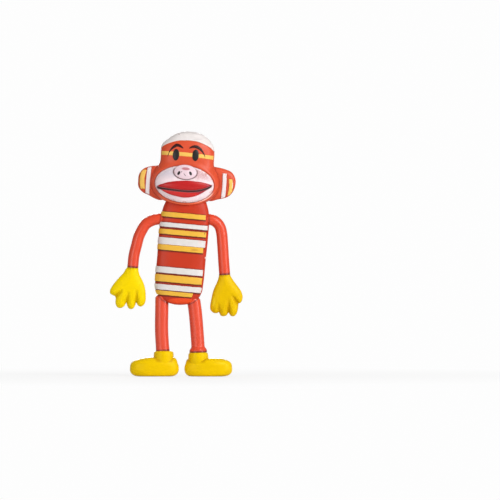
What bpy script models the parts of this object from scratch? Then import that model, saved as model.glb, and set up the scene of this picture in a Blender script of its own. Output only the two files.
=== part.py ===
# Bendy doll: a flat soft vinyl figure moulded over bendable wires, standing on its soles.
# Metres, +Z up, the face towards -Y. The origin is on the ground, in the middle of the figure.
# Right and left are the doll's own: its right side lies at -X.

import math

import bmesh
import bpy
import numpy as np

# Clearance between pieces that touch on the real doll, and how far a cutter runs past a cut
GAP = 0.0003
OVERRUN = 0.004

# How finely the solids are drawn
BODY_SIDES = 28
LIMB_SIDES = 14
SHOE_SIDES = 20
EAR_SIDES = 20
EYE_SIDES = 14
WIRE_SIDES = 6
ROUTE_STEPS = 240
LIMB_STEP = 0.0024
WIRE_STEP = 0.0030
CREASE_ANGLE = math.radians(40)

# Torso: a flat slab that leans a little towards the doll's left
TORSO_LENGTH = 0.0577
TORSO_HALF_WIDTH = 0.0135
TORSO_HALF_DEPTH = 0.0052
TORSO_LEAN = math.radians(5.2)
TORSO_SQUARENESS = 2.8
CROTCH_FROM_MIDDLE = 0.0002
CROTCH_HEIGHT = 0.0408

# Width and depth of the torso up its length, as shares of the sizes above
TORSO_SHARES = (
    (0.000, 0.20, 0.36),
    (0.012, 0.36, 0.58),
    (0.030, 0.53, 0.74),
    (0.057, 0.71, 0.86),
    (0.087, 0.87, 0.94),
    (0.147, 0.97, 1.00),
    (0.225, 1.00, 1.00),
    (0.450, 1.01, 1.00),
    (0.750, 1.02, 1.00),
    (0.860, 1.00, 1.00),
    (0.920, 0.97, 1.00),
    (0.960, 0.93, 0.99),
    (1.000, 0.87, 0.96),
    (1.040, 0.80, 0.92),
)

# Where the torso changes from a stiff stretch to a bend, as shares of its length
WAIST_LOW_SHARE = 0.371
WAIST_HIGH_SHARE = 0.523
WAIST_PIVOT_SHARE = 0.447
CHEST_TOP_SHARE = 0.919
NECK_TOP_SHARE = 1.040
NECK_TILT_SHARE = 0.950
NECK_NOD_SHARE = 0.980

# Raised stripes that wrap the torso from the front over its right side to the back: name, paint,
# lower and upper edge as shares of its length, and where both ends stop on its left side, as a
# share of its half width
STRIPE_THICKNESS = 0.0004
STRIPE_SECTIONS = 26
STRIPE_SHARES = (
    ("stripe_yellow_5", "stripe yellow", 0.087, 0.127, 0.70),
    ("stripe_white_4", "white", 0.133, 0.190, 0.985),
    ("stripe_yellow_4", "stripe yellow", 0.215, 0.288, 0.970),
    ("stripe_white_3", "white", 0.300, 0.364, 0.980),
    ("stripe_yellow_3", "stripe yellow", 0.530, 0.579, 0.880),
    ("stripe_white_2", "white", 0.585, 0.655, 0.970),
    ("stripe_yellow_2", "stripe yellow", 0.685, 0.738, 0.930),
    ("stripe_white_1", "white", 0.756, 0.800, 0.975),
    ("stripe_yellow_1", "stripe yellow", 0.857, 0.908, 0.870),
)

# The stripes that make room for each arm's root
STRIPES_BESIDE_ARM = {
    "right": ("stripe_yellow_1", "stripe_white_1"),
    "left": ("stripe_yellow_1",),
}

# Arms: round tubes that leave the torso sideways and turn down, as shares of its length
ARM_RADIUS_SHARE = 0.054593
ARM_ROOT_INSIDE = 0.0030
ARM_ROOT_SHARE = {"right": 0.832, "left": 0.868}
ARM_REACH_SHARE = {"right": 0.279029, "left": 0.157712}
ARM_DROP_SHARE = {"right": 0.478336, "left": 0.542461}
ARM_RADIUS = ARM_RADIUS_SHARE * TORSO_LENGTH

# The arm's centre line from its root to the wrist, as shares of its reach and its drop
ARM_ROUTE_SHARES = {
    "right": ((0.00, 0.00), (0.28, 0.03), (0.53, 0.11), (0.69, 0.25), (0.78, 0.36),
              (0.86, 0.53), (0.96, 0.77), (1.00, 1.00)),
    "left": ((0.00, 0.00), (0.30, 0.02), (0.58, 0.08), (0.74, 0.16), (0.81, 0.25),
             (0.87, 0.44), (0.93, 0.72), (1.00, 1.00)),
}

# Where each stretch of the arm ends and where it bends, as shares of the arm's length
SHOULDER_END_SHARE = 0.400
UPPER_ARM_END_SHARE = 0.520
ELBOW_END_SHARE = 0.730
FOREARM_END_SHARE = 0.850
RAISE_PIVOT_SHARE = 0.110
SWING_PIVOT_SHARE = 0.305
ELBOW_PIVOT_SHARE = 0.625
WRIST_PIVOT_SHARE = 0.925

# Gloved hands: a flat palm, three fingers and a thumb
HAND_LENGTH = 0.0246
HAND_HALF_DEPTH = 0.0028
PALM_SQUARENESS = 2.0
FINGER_DEPTH_SHARE = 0.86
GLOVE_WIRE_SHARE = 0.55

# Palm: how far down, sideways shift and half width, as shares of the hand's length
PALM_SHARES = (
    (0.000, 0.000, 0.130),
    (0.090, 0.000, 0.156),
    (0.230, 0.000, 0.200),
    (0.390, -0.003, 0.255),
    (0.550, -0.005, 0.290),
    (0.700, -0.010, 0.285),
    (0.760, -0.010, 0.260),
)

# Fingers: root across and down, tip across and down, radius, as shares of the hand's length.
# Across is measured away from the body.
FINGER_SHARES = {
    "right": ((0.150, 0.330, 0.425, 0.572, 0.102), (0.215, 0.560, 0.281, 0.850, 0.126),
              (0.015, 0.560, 0.021, 0.876, 0.124), (-0.165, 0.500, -0.205, 0.800, 0.117)),
    "left": ((0.150, 0.270, 0.340, 0.535, 0.097), (0.165, 0.580, 0.180, 0.880, 0.119),
              (-0.030, 0.580, -0.036, 0.890, 0.110), (-0.185, 0.560, -0.228, 0.800, 0.102)),
}

# How a finger's round end closes: angles from its tip
FINGER_END_ANGLES = np.radians((12, 40, 68))

# Legs: round tubes from under the pelvis down to the shoes. The hip's place is a share of the
# torso's half width, the ankle's a share of the heel's length and its flare one of the radius.
LEG_RADIUS = 0.0038
LEG_DOME = 0.0016
LEG_DOME_SHARES = ((1.0, 0.3), (0.5, 0.8))
HIP_ABOVE_CROTCH = 0.0032
HIP_SHARE = {"right": 0.718519, "left": 0.674074}
ANKLE_SHARE = {"right": 0.888889, "left": 1.333333}
ANKLE_FLARE_SHARE = {"right": 0.105263, "left": 0.315789}

# Where each stretch of the leg ends and where it bends, as shares of the leg's length
HIP_END_SHARE = 0.365
THIGH_END_SHARE = 0.495
KNEE_END_SHARE = 0.755
SHIN_END_SHARE = 0.893
SPREAD_PIVOT_SHARE = 0.070
STRIDE_PIVOT_SHARE = 0.240
KNEE_PIVOT_SHARE = 0.625
ANKLE_PIVOT_SHARE = 0.945

# Shoes: they point sideways, away from the body, and stand flat
SHOE_HEIGHT = 0.0146
TOE_LENGTH = 0.0193
HEEL_LENGTH = 0.0090
SHOE_HEIGHT_SHARE = {"right": 1.0, "left": 0.952055}
TOE_LENGTH_SHARE = {"right": 0.979275, "left": 1.0}
HEEL_LENGTH_SHARE = {"right": 1.0, "left": 0.877778}
SHOE_HALF_DEPTH = 0.0060
SHOE_SQUARENESS = 2.3
SHOE_WIRE_SHARE = 0.35

# Shoe: height, toe reach, heel reach and depth, as shares of the sizes above
SHOE_SHARES = (
    (0.000, 0.910, 0.840, 0.860),
    (0.055, 0.965, 0.945, 0.940),
    (0.200, 1.000, 0.990, 1.000),
    (0.400, 0.985, 1.000, 1.000),
    (0.530, 0.945, 0.970, 0.970),
    (0.620, 0.860, 0.920, 0.940),
    (0.680, 0.660, 0.850, 0.930),
    (0.730, 0.430, 0.790, 0.930),
    (0.800, 0.355, 0.755, 0.920),
    (0.920, 0.325, 0.700, 0.890),
    (1.000, 0.280, 0.580, 0.800),
)

# Wires: soft enough to bend by hand, in bores that they fill
ARM_WIRE_SHARES = (1.0, 0.8, 0.6, 0.4, 0.2, 0.0)
WIRE_RADIUS = 0.00075
WIRE_OFF_MIDDLE = 0.0014
SPINE_START_SHARE = 0.10
SPINE_INTO_HEAD_SHARE = 0.45
WIRE_ARCH_SHARE = 0.270

# Head: a flat rounded block that leans a little less than the torso
HEAD_HEIGHT = 0.0417
HEAD_HALF_WIDTH = 0.0151
HEAD_FRONT = 0.0076
HEAD_BACK = 0.0070
HEAD_LEAN = math.radians(4.5)
HEAD_SQUARENESS = 2.5
HEAD_FROM_TORSO_AXIS = 0.0008
HEAD_BELOW_TORSO_TOP = 0.0003

# Head: height, width, depth and sideways shift, as shares of the height, half width, depths and
# half width. The wide part is the muzzle's rim.
HEAD_SHARES = (
    (0.000, 0.380, 0.460, -0.087),
    (0.027, 0.680, 0.700, -0.087),
    (0.060, 0.890, 0.830, -0.087),
    (0.120, 1.060, 0.930, -0.087),
    (0.205, 1.160, 0.990, -0.087),
    (0.280, 1.185, 1.000, -0.087),
    (0.370, 1.150, 1.000, -0.080),
    (0.480, 1.050, 1.000, -0.040),
    (0.600, 1.000, 1.000, 0.000),
    (0.720, 1.000, 0.980, 0.000),
    (0.820, 0.950, 0.900, 0.000),
    (0.890, 0.820, 0.780, 0.000),
    (0.945, 0.640, 0.620, 0.000),
    (0.985, 0.380, 0.400, 0.000),
    (1.000, 0.200, 0.240, 0.000),
)

# Relief on the head: how thick the painted pieces stand, and how the cap's edge runs
PAINT_THICKNESS = 0.0003
CAP_THICKNESS = 0.0004
SEAT = 0.0009
CAP_SIDE_SHARE = 0.745
CAP_MIDDLE_SHARE = 0.880
CAP_ARCH_POWER = 1.5
CAP_CROWN_POWER = 3
CAP_RING_SHARES = (0.0, 0.25, 0.50, 0.72, 0.88, 1.0)

# Places on the face as shares of the head's half width and height, from its foot's middle
EYE_BAND_REACH_SHARE = 0.945
EYE_BAND_SHARES = ((-0.965, 0.681), (0.000, 0.688), (0.965, 0.670))
EYE_BAND_HALF_HEIGHT_SHARE = 0.028777
EYE_SHARES = {"right": (-0.480, 0.671), "left": (0.256, 0.683)}
BROW_HALF_HEIGHT_SHARE = 0.014388
BROW_END_ANGLE = 0.3
BROW_SHARES = {
    "right": ((-0.720, 0.690), (-0.620, 0.770), (-0.495, 0.811), (-0.340, 0.800), (-0.213, 0.768)),
    "left": ((0.014, 0.768), (0.130, 0.800), (0.259, 0.807), (0.440, 0.775), (0.600, 0.695)),
}

# Half width and half height of the eyes, the muzzle and the nose, as shares of the head's half
# width and height
EYE_SIZE_SHARES = (0.125828, 0.076739)
MUZZLE_SIZE_SHARES = (1.105960, 0.244604)
NOSE_SIZE_SHARES = (0.443709, 0.095923)
HEAD_SIZES = np.array((HEAD_HALF_WIDTH, HEAD_HEIGHT))
EYE_HALF_WIDTH, EYE_HALF_HEIGHT = HEAD_SIZES * EYE_SIZE_SHARES
MUZZLE_HALF_WIDTH, MUZZLE_HALF_HEIGHT = HEAD_SIZES * MUZZLE_SIZE_SHARES
NOSE_HALF_WIDTH, NOSE_HALF_HEIGHT = HEAD_SIZES * NOSE_SIZE_SHARES

# Muzzle, nose and lips
MUZZLE_RISE = 0.0034
MUZZLE_EDGE = 0.0008
MUZZLE_SHARES = (-0.087, 0.277)
NOSE_RISE = 0.0014
NOSE_SEAT = 0.0030
NOSE_SHARES = (-0.075, 0.440)
LIP_RISE = 0.0005
NOSE_LEVEL_SHARE = 0.8
MUZZLE_DOME_POWERS = (3.2, 0.6)
NOSE_SIDES = 20

# Rings of a painted disc, of the muzzle and of an ear, as shares of their radius. The second
# value says whether a ring is on the back or the front.
DISC_RING_SHARES = ((0.4, 0), (1.0, 0), (1.0, 1), (0.9, 1), (0.65, 1), (0.3, 1))
MUZZLE_RING_SHARES = ((0.4, 0), (1.0, 0), (1.0, 1), (0.96, 1), (0.88, 1), (0.7, 1), (0.45, 1), (0.2, 1))
EAR_RING_SHARES = ((0.3, 1), (0.7, 1), (0.9, 1), (0.975, 1), (1.0, 0), (0.975, -1), (0.9, -1),
                   (0.7, -1), (0.3, -1))
DISC_EDGE_SHARE = 0.25

# A painted strip's section: share of its height and share of its rise, the back first
STRIP_BACK_SHARES = (0.0, 1.0)
STRIP_FRONT_SHARES = ((1.0, 0.6), (0.75, 1.0), (0.25, 1.0), (0.0, 0.6))
EYE_BAND_POINTS = 23
BROW_POINTS = 9
LIP_POINTS = 17

# Lips: how far across as shares of the muzzle's half width, then the edges as shares of its
# half height above its middle
LIP_SHARES = (
    (-0.950, -0.200, -0.270, -0.320),
    (-0.800, -0.080, -0.330, -0.380),
    (-0.577, 0.043, -0.355, -0.510),
    (-0.300, 0.165, -0.375, -0.665),
    (0.000, 0.215, -0.370, -0.725),
    (0.280, 0.205, -0.345, -0.690),
    (0.560, 0.155, -0.262, -0.555),
    (0.800, 0.100, -0.120, -0.260),
    (0.940, 0.060, -0.010, -0.070),
)
MOUTH_HALF_GAP = 0.0003

# Ears: flat plates beside the head. Their edge is given by direction, as shares of the radius:
# first straight away from the head, then on over the top.
EAR_HALF_DEPTH = 0.0024
EAR_RADIUS_SHARE = 0.231415
EAR_FROM_SIDE_SHARE = 0.192053
EAR_HEIGHT_SHARE = {"right": 0.275, "left": 0.305}
EAR_EDGE_SHARES = (1.01, 1.07, 1.08, 1.00, 1.00, 1.10, 1.20, 1.20, 1.20, 1.20, 1.20, 1.10,
                   0.90, 0.87, 0.93, 0.97)

# Ear bands: place across, half width, half height and bow, as shares of the ear's radius
EAR_BAND_SHARES = {"white": (0.40, 0.130, 0.76, 0.06), "yellow": (0.75, 0.120, 0.46, 0.10)}
EAR_BAND_POINTS = 9
EAR_DOME_POWER = 4

# The figure is set back so that its box is centred on the origin
FACE_REACH = HEAD_FRONT + MUZZLE_RISE + NOSE_RISE + 2 * GAP
MIDDLE_Y = (FACE_REACH - HEAD_BACK) / 2

SIDES = {"right": -1, "left": 1}
UP = np.array((0.0, 0.0, 1.0))
DEEP = np.array((0.0, 1.0, 0.0))

# Paints, as the screen shows them from 0 to 255, with their roughness and metallic value
PAINTS = {
    "orange vinyl": ((222, 78, 46), 0.42, 0.0),
    "stripe yellow": ((240, 192, 74), 0.45, 0.0),
    "white": ((232, 224, 222), 0.45, 0.0),
    "black": ((44, 42, 42), 0.35, 0.0),
    "brown": ((74, 18, 16), 0.45, 0.0),
    "muzzle white": ((236, 216, 222), 0.45, 0.0),
    "lip red": ((206, 42, 42), 0.42, 0.0),
    "glove yellow": ((246, 214, 8), 0.38, 0.0),
    "shoe yellow": ((238, 198, 10), 0.38, 0.0),
    "wire": ((170, 172, 176), 0.35, 1.0),
}


def lean_frame(angle):
    # The sideways and upward directions of a block that leans towards the doll's left.
    across = np.array((math.cos(angle), 0.0, -math.sin(angle)))
    upward = np.array((math.sin(angle), 0.0, math.cos(angle)))
    return across, upward


def smooth(rows, places):
    # Reads a table between its rows: a cubic through them, by the first column.
    rows = np.array(rows, float)
    places = np.atleast_1d(np.asarray(places, float))
    knots, values = rows[:, 0], rows[:, 1:]
    slopes = np.gradient(values, knots, axis=0)
    left = np.clip(np.searchsorted(knots, places, side="right") - 1, 0, len(knots) - 2)
    width = (knots[left + 1] - knots[left])[:, None]
    t = (places - knots[left])[:, None] / width
    from_left = (2 * t**3 - 3 * t**2 + 1) * values[left] + (t**3 - 2 * t**2 + t) * width * slopes[left]
    from_right = (3 * t**2 - 2 * t**3) * values[left + 1] + (t**3 - t**2) * width * slopes[left + 1]
    return from_left + from_right


def paint(name):
    # One material for each paint, made the first time that it is asked for.
    if name in bpy.data.materials:
        return bpy.data.materials[name]
    screen, roughness, metallic = PAINTS[name]
    shade = np.array(screen) / 255
    linear = np.where(shade <= 0.04045, shade / 12.92, ((shade + 0.055) / 1.055) ** 2.4)
    material = bpy.data.materials.new(name)
    material.use_nodes = True
    shader = material.node_tree.nodes["Principled BSDF"]
    shader.inputs["Base Color"].default_value = (*linear, 1.0)
    shader.inputs["Roughness"].default_value = roughness
    shader.inputs["Metallic"].default_value = metallic
    return material


def round_turn(sides):
    return 2 * math.pi * np.arange(sides) / sides


def oval(turn, half_width, front, back, squareness):
    # A superellipse round the middle: points across and deep, the front half towards -Y.
    cosine, sine = np.cos(turn), np.sin(turn)
    across = half_width * np.sign(cosine) * np.abs(cosine) ** (2 / squareness)
    depth = np.where(sine < 0, front, back)
    return across, depth * np.sign(sine) * np.abs(sine) ** (2 / squareness)


def solid(name, rings, colour, ends="filled"):
    # One closed surface through rings of points. Its ends are filled with a fan, or joined.
    rings = np.array(rings)
    count, sides = rings.shape[:2]
    mesh = bmesh.new()
    rows = [[mesh.verts.new(p) for p in ring] for ring in rings]
    pairs = list(zip(rows, rows[1:]))
    if ends == "joined":
        pairs.append((rows[-1], rows[0]))
    for low, high in pairs:
        for k in range(sides):
            after = (k + 1) % sides
            mesh.faces.new((low[k], low[after], high[after], high[k]))
    if ends == "filled":
        for row, ring in ((rows[0], rings[0]), (rows[-1], rings[-1])):
            middle = mesh.verts.new(ring.mean(axis=0))
            for k in range(sides):
                mesh.faces.new((row[k], row[(k + 1) % sides], middle))
    bmesh.ops.recalc_face_normals(mesh, faces=mesh.faces)
    data = bpy.data.meshes.new(name)
    mesh.to_mesh(data)
    mesh.free()
    data.shade_smooth()
    data.set_sharp_from_angle(angle=CREASE_ANGLE)
    data.materials.append(paint(colour))
    thing = bpy.data.objects.new(name, data)
    bpy.context.scene.collection.objects.link(thing)
    return thing


def hide(cutter):
    # A cutter or a shape that is joined to another one isn't part of the doll.
    cutter.hide_render = True
    cutter.display_type = "WIRE"
    return cutter


def boolean(thing, other, operation="DIFFERENCE"):
    change = thing.modifiers.new(f"{operation.lower()} {other.name}", "BOOLEAN")
    change.operation = operation
    change.object = other
    change.solver = "EXACT"


class Route:
    # A smooth centre line through a few points, read by the distance along it.

    def __init__(self, points):
        points = np.array(points, float)
        steps = np.linalg.norm(np.diff(points, axis=0), axis=1)
        knots = np.concatenate(([0.0], np.cumsum(steps)))
        self.points = smooth(np.column_stack((knots, points)), np.linspace(0, knots[-1], ROUTE_STEPS))
        runs = np.linalg.norm(np.diff(self.points, axis=0), axis=1)
        self.reached = np.concatenate(([0.0], np.cumsum(runs)))
        self.length = self.reached[-1]

    def point(self, distance):
        inside = np.clip(distance, 0, self.length)
        place = np.array([np.interp(inside, self.reached, self.points[:, k]) for k in range(3)])
        return place + (distance - inside) * self.tangent(distance)

    def tangent(self, distance):
        k = int(np.clip(np.searchsorted(self.reached, distance), 1, len(self.points) - 1))
        step = self.points[k] - self.points[k - 1]
        return step / np.linalg.norm(step)

    def ring(self, distance, radius, sides, depth=None):
        # A circle square to the line, or an oval when its depth differs.
        along = self.tangent(distance)
        deep = DEEP - along * (DEEP @ along)
        deep /= np.linalg.norm(deep)
        across = np.cross(deep, along)
        turn = round_turn(sides)
        thickness = radius if depth is None else depth
        return (self.point(distance) + radius * np.outer(np.cos(turn), across)
                + thickness * np.outer(np.sin(turn), deep))


def tube(name, route, start, end, radii, colour, sides, step):
    # A round bar along a route from one distance to another. Radii are read along it.
    count = max(2, 1 + round((end - start) / step))
    places = np.linspace(start, end, count)
    sizes = np.interp(places, *np.transpose(radii)) if np.ndim(radii) else np.full(count, radii)
    return solid(name, [route.ring(s, r, sides) for s, r in zip(places, sizes)], colour)


# Torso

TORSO_ACROSS, TORSO_UP = lean_frame(TORSO_LEAN)
CROTCH = np.array((CROTCH_FROM_MIDDLE, MIDDLE_Y, CROTCH_HEIGHT))


def torso_point(share):
    # A point on the torso's middle line.
    return CROTCH + share * TORSO_LENGTH * TORSO_UP


def torso_half_width(share):
    return TORSO_HALF_WIDTH * smooth(TORSO_SHARES, share)[0, 0]


def torso_line(share, grow, turn, below=0.0):
    # The torso's outline at a height, grown on all sides, for the given turns round its middle.
    width, depth = smooth(TORSO_SHARES, share)[0]
    half_depth = TORSO_HALF_DEPTH * depth + grow
    across, deep = oval(turn, TORSO_HALF_WIDTH * width + grow, half_depth, half_depth,
                        TORSO_SQUARENESS)
    middle = torso_point(share) - below * TORSO_UP
    return middle + np.outer(across, TORSO_ACROSS) + np.outer(deep, DEEP)


def torso_ring(share, grow, below=0.0):
    return torso_line(share, grow, round_turn(BODY_SIDES), below)


def torso_stretch(name, low, high, colour, places):
    # A stiff or bending stretch of the torso between two heights, short of its neighbours by a gap.
    half_gap = GAP / 2 / TORSO_LENGTH
    start = low + half_gap if low > 0 else low
    inner = [p for p in places if start < p < high - half_gap]
    return solid(name, [torso_ring(p, 0.0) for p in (start, *inner, high - half_gap)], colour)


def torso_clearance(name, low, high):
    # The torso's own shape, a gap larger, to cut what rests on it.
    places = [row[0] for row in TORSO_SHARES if low < row[0] < high]
    rings = [torso_ring(p, GAP) for p in (low, *places, high)]
    if low == 0:
        rings.insert(0, torso_ring(low, GAP, below=GAP))
    return hide(solid(name, rings, "orange vinyl"))


def make_torso():
    rows = [row[0] for row in TORSO_SHARES]
    return {
        "pelvis": torso_stretch("pelvis", 0.0, WAIST_LOW_SHARE, "orange vinyl", rows),
        "waist": torso_stretch("waist", WAIST_LOW_SHARE, WAIST_HIGH_SHARE, "orange vinyl", rows),
        "chest": torso_stretch("chest", WAIST_HIGH_SHARE, CHEST_TOP_SHARE, "orange vinyl", rows),
        "neck": torso_stretch("neck", CHEST_TOP_SHARE, NECK_TOP_SHARE, "orange vinyl", rows),
    }


def make_stripe(name, colour, low, high, end):
    # A raised band, a gap off the torso's surface. Its two ends stop short of the doll's left edge.
    start = math.acos(end ** (TORSO_SQUARENESS / 2))
    turn = -np.linspace(start, 2 * math.pi - start, STRIPE_SECTIONS)
    corners = ((low, GAP), (low, GAP + STRIPE_THICKNESS), (high, GAP + STRIPE_THICKNESS), (high, GAP))
    lines = [torso_line(share, grow, turn) for share, grow in corners]
    return solid(name, np.swapaxes(lines, 0, 1), colour)


# Arms

def arm_route(side):
    sign = SIDES[side]
    share = ARM_ROOT_SHARE[side]
    root = torso_point(share) + sign * torso_half_width(share) * TORSO_ACROSS
    reach = np.array((sign * ARM_REACH_SHARE[side] * TORSO_LENGTH, 0.0, 0.0))
    drop = ARM_DROP_SHARE[side] * TORSO_LENGTH * UP
    points = [root + out * reach - down * drop for out, down in ARM_ROUTE_SHARES[side]]
    return Route(points)


def limb_stretch(name, route, low, high, radii, colour):
    # A stretch of a limb between two shares of its length, short of its neighbours by a gap.
    start = low * route.length + GAP / 2
    end = high * route.length - GAP / 2
    return tube(name, route, start, end, radii, colour, LIMB_SIDES, LIMB_STEP)


def make_arm(side, route):
    length = route.length
    shoulder_end = SHOULDER_END_SHARE * length - GAP / 2
    arm = {
        f"shoulder_{side}": tube(f"shoulder_{side}", route, -ARM_ROOT_INSIDE, shoulder_end,
                                 ARM_RADIUS, "orange vinyl", LIMB_SIDES, LIMB_STEP),
    }
    stretches = (
        ("upper_arm", SHOULDER_END_SHARE, UPPER_ARM_END_SHARE),
        ("elbow", UPPER_ARM_END_SHARE, ELBOW_END_SHARE),
        ("forearm", ELBOW_END_SHARE, FOREARM_END_SHARE),
        ("wrist", FOREARM_END_SHARE, 1.0),
    )
    for part, low, high in stretches:
        name = f"{part}_{side}"
        arm[name] = limb_stretch(name, route, low, high, ARM_RADIUS, "orange vinyl")
    return arm


def finger(name, root, tip, radius, depth):
    # A round ended bar between two points, flatter front to back.
    line = Route((root, tip))
    rings = [line.ring(-radius * math.cos(t), radius * math.sin(t), LIMB_SIDES, depth * math.sin(t))
             for t in FINGER_END_ANGLES]
    rings += [line.ring(line.length + radius * math.cos(t), radius * math.sin(t), LIMB_SIDES,
                        depth * math.sin(t)) for t in FINGER_END_ANGLES[::-1]]
    return hide(solid(name, rings, "glove yellow"))


def make_hand(side, route):
    sign = SIDES[side]
    wrist = route.point(route.length)
    outward = sign * HAND_LENGTH * np.array((1.0, 0.0, 0.0))
    down = -HAND_LENGTH * UP
    rings = []
    for low, shift, half in PALM_SHARES:
        across, deep = oval(round_turn(LIMB_SIDES), HAND_LENGTH * half, HAND_HALF_DEPTH, HAND_HALF_DEPTH,
                            PALM_SQUARENESS)
        middle = wrist + low * down + shift * outward
        if low == 0:
            middle = middle + GAP / 2 * -UP
        rings.append(middle + np.outer(across, (1.0, 0.0, 0.0)) + np.outer(deep, DEEP))
    hand = solid(f"hand_{side}", rings, "glove yellow")
    for k, (out, low, tip_out, tip_low, radius) in enumerate(FINGER_SHARES[side]):
        root = wrist + out * outward + low * down
        tip = wrist + tip_out * outward + tip_low * down
        shape = finger(f"finger_{k}_{side}", root, tip, HAND_LENGTH * radius,
                       HAND_HALF_DEPTH * FINGER_DEPTH_SHARE)
        boolean(hand, shape, "UNION")
    return hand


# Legs

def leg_route(side):
    sign = SIDES[side]
    hip = CROTCH + sign * HIP_SHARE[side] * TORSO_HALF_WIDTH * TORSO_ACROSS + HIP_ABOVE_CROTCH * UP
    ankle = np.array((CROTCH[0] + sign * ANKLE_SHARE[side] * HEEL_LENGTH, MIDDLE_Y,
                      SHOE_HEIGHT_SHARE[side] * SHOE_HEIGHT))
    above = ankle + LEG_RADIUS * UP
    return Route((hip, (2 * hip + above) / 3, (hip + 2 * above) / 3, above, ankle))


def make_leg(side, route):
    length = route.length
    dome = [(-low * LEG_DOME, size * LEG_RADIUS) for low, size in LEG_DOME_SHARES]
    dome += [(0.0, LEG_RADIUS), (length, LEG_RADIUS)]
    flare = ((0.0, LEG_RADIUS), (SHIN_END_SHARE * length, LEG_RADIUS),
             (length, LEG_RADIUS * (1 + ANKLE_FLARE_SHARE[side])))
    hip_end = HIP_END_SHARE * length - GAP / 2
    places = [place for place, size in dome[:-1]] + list(np.arange(LIMB_STEP, hip_end, LIMB_STEP))
    sizes = np.interp(places + [hip_end], *np.transpose(dome))
    rings = [route.ring(s, r, LIMB_SIDES) for s, r in zip(places + [hip_end], sizes)]
    leg = {f"hip_{side}": solid(f"hip_{side}", rings, "orange vinyl")}
    stretches = (
        ("thigh", HIP_END_SHARE, THIGH_END_SHARE, LEG_RADIUS),
        ("knee", THIGH_END_SHARE, KNEE_END_SHARE, LEG_RADIUS),
        ("shin", KNEE_END_SHARE, SHIN_END_SHARE, LEG_RADIUS),
        ("ankle", SHIN_END_SHARE, 1.0, flare),
    )
    for part, low, high, radii in stretches:
        name = f"{part}_{side}"
        leg[name] = limb_stretch(name, route, low, high, radii, "orange vinyl")
    return leg


def make_shoe(side, route):
    sign = SIDES[side]
    ankle = route.point(route.length)
    rings = []
    for height, toe, heel, depth in SHOE_SHARES:
        toe_reach = toe * TOE_LENGTH_SHARE[side] * TOE_LENGTH
        heel_reach = heel * HEEL_LENGTH_SHARE[side] * HEEL_LENGTH
        across, deep = oval(round_turn(SHOE_SIDES), (toe_reach + heel_reach) / 2, depth * SHOE_HALF_DEPTH,
                            depth * SHOE_HALF_DEPTH, SHOE_SQUARENESS)
        top = GAP / 2 if height == 1 else 0.0
        middle = np.array((ankle[0] + sign * (toe_reach - heel_reach) / 2, MIDDLE_Y,
                           height * SHOE_HEIGHT_SHARE[side] * SHOE_HEIGHT - top))
        rings.append(middle + np.outer(across, (1.0, 0.0, 0.0)) + np.outer(deep, DEEP))
    return solid(f"shoe_{side}", rings, "shoe yellow")


# Wires

def wire_routes(arms, legs):
    # The three wires' centre lines. The arm and leg wires pass behind the spine wire.
    behind = WIRE_OFF_MIDDLE * DEEP
    arm_points = []
    for side in ("right", "left"):
        route = arms[side]
        tip = route.point(route.length) - GLOVE_WIRE_SHARE * HAND_LENGTH * UP
        line = [tip] + [route.point(share * route.length) for share in ARM_WIRE_SHARES]
        inner = torso_point(ARM_ROOT_SHARE[side])
        line.append(inner + (route.point(0.0) - inner) / 3 + behind)
        arm_points.append(line)
    leg_points = []
    for side in ("right", "left"):
        route = legs[side]
        foot = route.point(route.length)
        foot = foot - (1 - SHOE_WIRE_SHARE) * SHOE_HEIGHT_SHARE[side] * SHOE_HEIGHT * UP
        leg_points.append([foot, route.point(route.length), route.point(route.length / 2),
                           route.point(0.0)])
    arch = torso_point(WIRE_ARCH_SHARE) + behind
    bends = [(2 * arch + line[-1] + behind) / 3 + HIP_ABOVE_CROTCH / 2 * UP for line in leg_points]
    into_head = head_point(0.0, SPINE_INTO_HEAD_SHARE) - behind
    return {
        "arm_wire": Route(arm_points[0] + arm_points[1][::-1]),
        "leg_wire": Route(leg_points[0] + [bends[0], arch, bends[1]] + leg_points[1][::-1]),
        "spine_wire": Route((torso_point(SPINE_START_SHARE) - behind,
                             torso_point(WAIST_PIVOT_SHARE) - behind,
                             torso_point(CHEST_TOP_SHARE) - behind, into_head)),
    }


def make_wires(routes, things, crossed):
    # Each wire, and the bore that it lies in, cut from every stretch that it crosses.
    wires = {}
    for name, route in routes.items():
        wires[name] = tube(name, route, 0.0, route.length, WIRE_RADIUS, "wire", WIRE_SIDES,
                           WIRE_STEP)
        bore = hide(tube(name.replace("wire", "bore"), route, -GAP, route.length + GAP,
                         WIRE_RADIUS + GAP, "wire", WIRE_SIDES, WIRE_STEP))
        for thing in crossed[name]:
            boolean(things[thing], bore)
    return wires


# Head

HEAD_ACROSS, HEAD_UP = lean_frame(HEAD_LEAN)
HEAD_FOOT = (torso_point(1.0) - HEAD_FROM_TORSO_AXIS * TORSO_ACROSS
             - HEAD_BELOW_TORSO_TOP * TORSO_UP)


def head_point(across, share):
    # A point in the head's middle plane: distance sideways and share of its height.
    return HEAD_FOOT + across * HEAD_ACROSS + share * HEAD_HEIGHT * HEAD_UP


def head_ring(share, grow, below=0.0):
    width, depth, shift = smooth(HEAD_SHARES, share)[0]
    across, deep = oval(round_turn(BODY_SIDES), HEAD_HALF_WIDTH * width + grow, HEAD_FRONT * depth + grow,
                        HEAD_BACK * depth + grow, HEAD_SQUARENESS)
    middle = head_point(shift * HEAD_HALF_WIDTH, share) - below * HEAD_UP
    return middle + np.outer(across, HEAD_ACROSS) + np.outer(deep, DEEP)


def make_head():
    return solid("head", [head_ring(row[0], 0.0) for row in HEAD_SHARES], "orange vinyl")


def head_clearance():
    rings = [head_ring(row[0], GAP) for row in HEAD_SHARES]
    rings.insert(0, head_ring(0.0, GAP, below=GAP))
    return hide(solid("head_clearance", rings, "orange vinyl"))


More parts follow.
